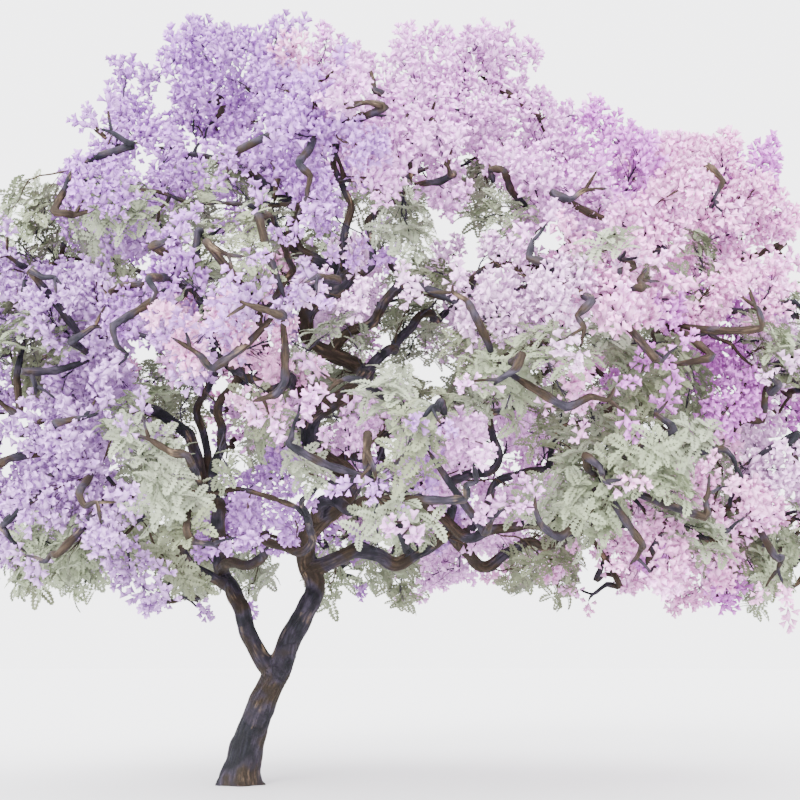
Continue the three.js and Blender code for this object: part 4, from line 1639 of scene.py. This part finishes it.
def grow_branches(tier, material):
    """Stems, twigs and bare branches of one tier's masses, with bark, joined into one piece."""
    parts, ridges, local = Parts(), [], []

    def add(path, radii, sides):
        points, faces, ridge, place = barked_tube(path, radii, sides)
        parts.add((points, faces), 0)
        ridges.append(ridge)
        local.append(place)

    for mass in masses_in(tier):
        path = shown_stem(mass, np.linspace(0, 1, round(mass.stem.length / BRANCH_STEP)))
        path = np.concatenate([[path[0] - mass.stem_leave * STEM_SHOWN.sink], path])
        girth = mass.tip_radius
        add(path, (girth * STEM_SHOWN.root, girth * STEM_SHOWN.tip), STEM_SHOWN.sides)
        for twig in mass.twigs:
            path = shown_twig(mass, twig, np.linspace(0, 1, round(twig.line.length / BRANCH_STEP)))
            path = np.concatenate([[path[0] + unit(path[0] - path[1]) * TWIG_SHOWN.sink], path])
            add(path, (TWIG_SHOWN.root, TWIG_SHOWN.tip), TWIG_SHOWN.sides)
        for spur in mass.spurs:
            add(spur.path, SPUR.radii, SPUR.sides)
            add(spur.offshoot, OFFSHOOT.radii, OFFSHOOT.sides)
    piece = parts.joined(f"branches_{tier}", [material])
    keep_bark(piece.data, np.concatenate(ridges), np.concatenate(local))
    hand_over(piece, [mass.name for mass in masses_in(tier)])


def grow_twigs(tier, materials):
    """The spines and shoots of one tier's sprays, joined into one piece."""
    parts = Parts()
    for sprig in (sprig for kind in ("blossom", "leaf") for sprig in sprigs()[tier][kind]):
        shade = round(abs(sprig.spine[0] @ TWIG_DEAL)) % len(materials)
        thick = np.linspace(SPINE.root, SPINE.tip, SPINE.stops)
        parts.add(closed_tubes(sprig.spine[None], thick[None], SPINE.sides), shade)
        bent = mix(sprig.starts, sprig.middles, SHOOT.bent)
        paths = np.stack([sprig.starts, bent, sprig.middles, sprig.heads], axis=1)
        count, stops, _ = paths.shape
        thick = np.tile(np.linspace(SHOOT.root, SHOOT.tip, stops), (count, 1))
        parts.add(closed_tubes(paths, thick, SHOOT.sides), shade)
    piece = parts.joined(f"twigs_{tier}", materials)
    hand_over(piece, [mass.name for mass in masses_in(tier)])


def add_copies(parts, shapes, kinds, frames, places, sizes, shades):
    """Adds a copy of its kind of shape at each place, with a shade for each of its faces."""
    for kind, shape in enumerate(shapes):
        mine = kinds == kind
        if mine.any():
            parts.add(copies(shape, frames[mine], places[mine], sizes[mine]), shades[mine].ravel())


def grow_blossom(tier, shapes, materials, names):
    """One tier's panicles, joined into one piece, each in a shade of its spray's tint and with buds
    in the deep one."""
    parts = Parts()
    faces = len(shapes[0][1])
    tufts = [tuft for mass in masses_in(tier) for tuft in tufts_of(mass)]
    for sprig in [*sprigs()[tier]["blossom"], *tufts]:
        random, count = sprig.random, len(sprig.heads)
        dealt = random.choice(list(SHADES), count, p=SHADE_SHARES)
        shades = np.repeat([[names.index((sprig.tint, shade))] for shade in dealt], faces, axis=1)
        shades[:, -BUD_FACES:] = names.index((sprig.tint, "deep"))
        frames = frames_along(sprig.ways, random.uniform(0, math.tau, count))
        places = sprig.heads - sprig.ways * PANICLE_SINK
        sizes = random.uniform(*PANICLE.spread, count)
        kinds = random.integers(0, len(shapes), count)
        add_copies(parts, shapes, kinds, frames, places, sizes, shades)
    piece = parts.joined(f"blossom_{tier}", materials)
    hand_over(piece, [mass.name for mass in masses_in(tier)])


def grow_leaves(tier, shapes, materials, settings):
    """One tier's fronds, joined into one piece, in whorls at the ends of their shoots."""
    parts = Parts()
    faces, each = len(shapes[0][1]), settings.fronds
    for sprig in sprigs()[tier]["leaf"]:
        random = sprig.random
        ways = np.repeat(sprig.ways, each, axis=0)
        places = np.repeat(sprig.heads, each, axis=0)
        count = len(ways)
        turns = np.tile(math.tau * np.arange(each) / each, len(sprig.heads)) + random.uniform(0, 1, count)
        stems = frames_along(ways, turns)
        out = stems[:, 0] + ways * random.uniform(*WHORL.ahead, (count, 1)) + UP * WHORL.rise
        frames = frames_round(out, ways + UP * WHORL.face_up)
        sizes = settings.frond_length * random.uniform(*WHORL.spread, count)
        kinds = random.integers(0, len(shapes), count)
        shades = np.full((count, faces), random.integers(0, len(materials)))
        add_copies(parts, shapes, kinds, frames, places, sizes, shades)
    piece = parts.joined(f"leaves_{tier}", materials, smooth=False)
    hand_over(piece, [mass.name for mass in masses_in(tier)])


def number(name, description, default, **limits):
    return FloatProperty(name=name, description=description, default=default, **limits)


def whole(name, description, default, low, high):
    return IntProperty(name=name, description=description, default=default, min=low, max=high)


def colour(name, description, *seen):
    return FloatVectorProperty(
        name=name, description=description, default=srgb(*seen), subtype="COLOR", min=0, max=1
    )


class JacarandaBark(bpy.types.PropertyGroup):
    """The bark's mesh and colours."""

    main_mesh: number("Mesh size", "Size of the main limbs' faces", LIMB.voxel, unit="LENGTH")
    side_mesh: number("Side mesh size", "Size of the other boughs' faces", LIMB.side_voxel, unit="LENGTH")
    furrow_depth: number("Furrow depth", "Depth of the furrows, as a share", 1.0, subtype="FACTOR")
    blue_black: colour("Blue-black", "The darkest bark", 0.115, 0.115, 0.145)
    brown: colour("Brown", "The warm bark", 0.23, 0.185, 0.145)
    violet_grey: colour("Violet-grey", "The cool bark", 0.235, 0.21, 0.26)
    # The tan is a painted highlight on the bark's ridges
    tan: colour("Tan", "Dry ridges of the bark", 0.5, 0.42, 0.33)


class JacarandaGrowth(bpy.types.PropertyGroup):
    """How the sprays grow on."""

    panicles: whole("Panicles", "Panicles on a full spray of blossom", 17, 3, 60)
    leaf_heads: whole("Leaf shoots", "Shoots with leaves on a full spray of leaves", 18, 3, 40)


class JacarandaBlossom(bpy.types.PropertyGroup):
    """The panicles' flowers and tints."""

    flowers: whole("Flowers", "Flowers in a panicle", 9, 3, 40)
    flower_length: number("Flower length", "Length of one flower", 0.092, unit="LENGTH")
    panicle_length: number("Panicle length", "Length of a panicle's axis", 0.22, unit="LENGTH")
    violet: colour("Violet", "Blossom at the top left", 0.77, 0.57, 0.855)
    blue_violet: colour("Blue-violet", "Blossom at the left", 0.77, 0.61, 0.84)
    lilac: colour("Lilac", "Pale blossom in the middle and at the right", 0.915, 0.765, 0.92)
    mauve: colour("Mauve", "Blossom at the top", 0.925, 0.715, 0.93)
    pink: colour("Pink", "Blossom at the right", 0.97, 0.73, 0.92)
    rose: colour("Rose", "The pinkest blossom", 0.955, 0.72, 0.895)
    orchid: colour("Orchid", "The deepest blossom, at the right", 0.83, 0.52, 0.85)


class JacarandaLeaves(bpy.types.PropertyGroup):
    """The fronds' size and greens."""

    fronds: whole("Fronds", "Fronds at the end of a shoot", 4, 1, 12)
    frond_length: number("Frond length", "Length of one frond", 0.27, unit="LENGTH")
    leaflet_pairs: whole("Leaflet pairs", "Pairs of leaflets on a frond", 6, 3, 20)
    sage: colour("Sage", "The plain leaves", 0.505, 0.54, 0.435)
    grey_green: colour("Grey-green", "The pale leaves", 0.55, 0.58, 0.49)
    olive: colour("Olive", "The deep leaves", 0.47, 0.495, 0.39)


class JacarandaStage(bpy.types.PropertyGroup):
    """The floor, the light and the camera."""

    floor: colour("Floor", "Colour of the floor", 0.905, 0.905, 0.905)
    backdrop: colour("Backdrop", "Colour of the backdrop", 0.96, 0.96, 0.97)
    backdrop_strength: number("Backdrop brightness", "How bright the backdrop looks", 4.9)
    fill_strength: number("Fill light", "Strength of the light from all round", 5)
    sun_strength: number("Key light", "Strength of the soft key light", 7)
    camera_back: number("Camera distance", "How far the camera stands from the trunk", 20, unit="LENGTH")
    camera_aside: number("Camera aside", "How far right of the trunk it stands", 1.99, unit="LENGTH")
    camera_height: number("Eye level", "Height of the camera", 1.6, unit="LENGTH")
    camera_pitch: number("Pitch", "How far up it looks", math.radians(9.2), subtype="ANGLE")
    camera_lens: number("Lens", "Focal length on a 36 mm sensor, in millimetres", 70.56)


class JACARANDA_OT_limbs(bpy.types.Operator):
    """Make the bark of the trunk, the boughs and the branches"""

    bl_idname = "jacaranda.limbs"
    bl_label = "Trunk, boughs and branches"

    def execute(self, context):
        settings = context.scene.jacaranda_bark
        material = bark_material(settings)
        boughs = grown().boughs
        main = [bough for bough in boughs if bough.name in MAIN_LIMBS]
        side = [bough for bough in boughs if bough.name not in MAIN_LIMBS]
        make_limbs("limbs_main", True, main, settings.main_mesh, settings, material)
        make_limbs("limbs_side", False, side, settings.side_mesh, settings, material)
        for tier in TIERS:
            grow_branches(tier, material)
        return {"FINISHED"}


class JACARANDA_OT_twigs(bpy.types.Operator):
    """Make the finest twigs of each tier"""

    bl_idname = "jacaranda.twigs"
    bl_label = "Twigs"

    def execute(self, context):
        settings = context.scene.jacaranda_bark
        materials = [grained(f"twig_{name}", getattr(settings, name), TWIG_FINISH) for name in TWIG_SHADES]
        for tier in TIERS:
            grow_twigs(tier, materials)
        return {"FINISHED"}


class JACARANDA_OT_blossom(bpy.types.Operator):
    """Make the blossom of each tier"""

    bl_idname = "jacaranda.blossom"
    bl_label = "Blossom"

    def execute(self, context):
        settings = context.scene.jacaranda_blossom
        names = [(tint, shade) for tint in TINTS for shade in SHADES]
        materials = []
        for tint, shade in names:
            seen = np.clip(np.array(getattr(settings, tint)) * SHADES[shade], 0, BRIGHTEST)
            materials.append(grained(f"blossom_{tint}_{shade}", seen, BLOSSOM_FINISH))
        shapes = [panicle_shape(settings, seed) for seed in range(PANICLE.kinds)]
        for tier in TIERS:
            grow_blossom(tier, shapes, materials, names)
        return {"FINISHED"}


class JACARANDA_OT_leaves(bpy.types.Operator):
    """Make the leaves of each tier"""

    bl_idname = "jacaranda.leaves"
    bl_label = "Leaves"

    def execute(self, context):
        settings = context.scene.jacaranda_leaves
        materials = [grained(f"leaf_{name}", getattr(settings, name), LEAF_FINISH) for name in LEAF_SHADES]
        shapes = [frond_shape(settings, seed) for seed in range(FROND.kinds)]
        for tier in TIERS:
            grow_leaves(tier, shapes, materials, settings)
        return {"FINISHED"}


def make_floor(colour_seen):
    bm = bmesh.new()
    bmesh.ops.create_circle(bm, cap_ends=True, segments=FLOOR.sides, radius=FLOOR.radius)
    mesh = bpy.data.meshes.new("floor")
    bm.to_mesh(mesh)
    bm.free()
    mesh.materials.append(grained("floor", colour_seen, FLOOR_FINISH))
    floor = linked("floor", mesh)
    floor.location.z = -FLOOR.drop


def make_backdrop(settings):
    """A world that lights the tree from all round, and that the camera sees as the backdrop."""
    world = bpy.data.worlds.new("backdrop")
    world.use_nodes = True
    tree = world.node_tree
    fill = tree.nodes["Background"]
    feed(tree, fill, {"Color": FILL_COLOUR, "Strength": settings.fill_strength})
    backdrop = {"Color": (*settings.backdrop, 1), "Strength": settings.backdrop_strength}
    seen = add_node(tree, "ShaderNodeBackground", backdrop)
    camera_ray = add_node(tree, "ShaderNodeLightPath").outputs["Is Camera Ray"]
    either = {"Fac": camera_ray, 1: fill.outputs["Background"], 2: seen.outputs["Background"]}
    both = add_node(tree, "ShaderNodeMixShader", either)
    feed(tree, tree.nodes["World Output"], {"Surface": both.outputs["Shader"]})
    bpy.context.scene.world = world


def make_key_light(strength):
    sun = bpy.data.lights.new("key_light", "SUN")
    sun.energy = strength
    sun.angle = math.radians(KEY_LIGHT.soft)
    lamp = linked("key_light", sun)
    lamp.rotation_euler = (math.radians(KEY_LIGHT.tilt), 0, math.radians(KEY_LIGHT.turn))


def make_camera(settings):
    """The painter's eye."""
    camera = linked("camera", bpy.data.cameras.new("camera"))
    camera.location = (settings.camera_aside, -settings.camera_back, settings.camera_height)
    camera.rotation_euler = (math.pi / 2 + settings.camera_pitch, 0, 0)
    camera.data.lens = settings.camera_lens
    camera.data.clip_end = FARTHEST_SEEN
    bpy.context.scene.camera = camera


class JACARANDA_OT_stage(bpy.types.Operator):
    """Make the floor, the light and the camera"""

    bl_idname = "jacaranda.stage"
    bl_label = "Stage"

    def execute(self, context):
        settings = context.scene.jacaranda_stage
        make_floor(settings.floor)
        make_backdrop(settings)
        make_key_light(settings.sun_strength)
        make_camera(settings)
        context.scene.view_settings.view_transform = "AgX"
        return {"FINISHED"}


class JACARANDA_PT_panel(bpy.types.Panel):
    """Lists what makes the tree"""

    bl_label = "Jacaranda in blossom"
    bl_idname = "JACARANDA_PT_panel"
    bl_space_type = "VIEW_3D"
    bl_region_type = "UI"
    bl_category = "Jacaranda"

    def draw(self, context):
        for settings_name, settings_class in SETTINGS.items():
            box = self.layout.box()
            settings = getattr(context.scene, settings_name)
            for name in settings_class.__annotations__:
                box.prop(settings, name)
        for operator in OPERATORS:
            self.layout.operator(operator.bl_idname)


SETTINGS = {
    "jacaranda_bark": JacarandaBark,
    "jacaranda_growth": JacarandaGrowth,
    "jacaranda_blossom": JacarandaBlossom,
    "jacaranda_leaves": JacarandaLeaves,
    "jacaranda_stage": JacarandaStage,
}
OPERATORS = (
    JACARANDA_OT_stage,
    JACARANDA_OT_limbs,
    JACARANDA_OT_twigs,
    JACARANDA_OT_blossom,
    JACARANDA_OT_leaves,
)
CLASSES = (*SETTINGS.values(), *OPERATORS, JACARANDA_PT_panel)


def register():
    for cls in CLASSES:
        bpy.utils.register_class(cls)
    for name, cls in SETTINGS.items():
        setattr(bpy.types.Scene, name, PointerProperty(type=cls))


def unregister():
    for name in SETTINGS:
        delattr(bpy.types.Scene, name)
    for cls in reversed(CLASSES):
        bpy.utils.unregister_class(cls)


def main():
    register()
    bpy.ops.jacaranda.stage()
    bpy.ops.jacaranda.limbs()
    bpy.ops.jacaranda.twigs()
    bpy.ops.jacaranda.blossom()
    bpy.ops.jacaranda.leaves()
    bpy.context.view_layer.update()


if __name__ == "__main__":
    main()
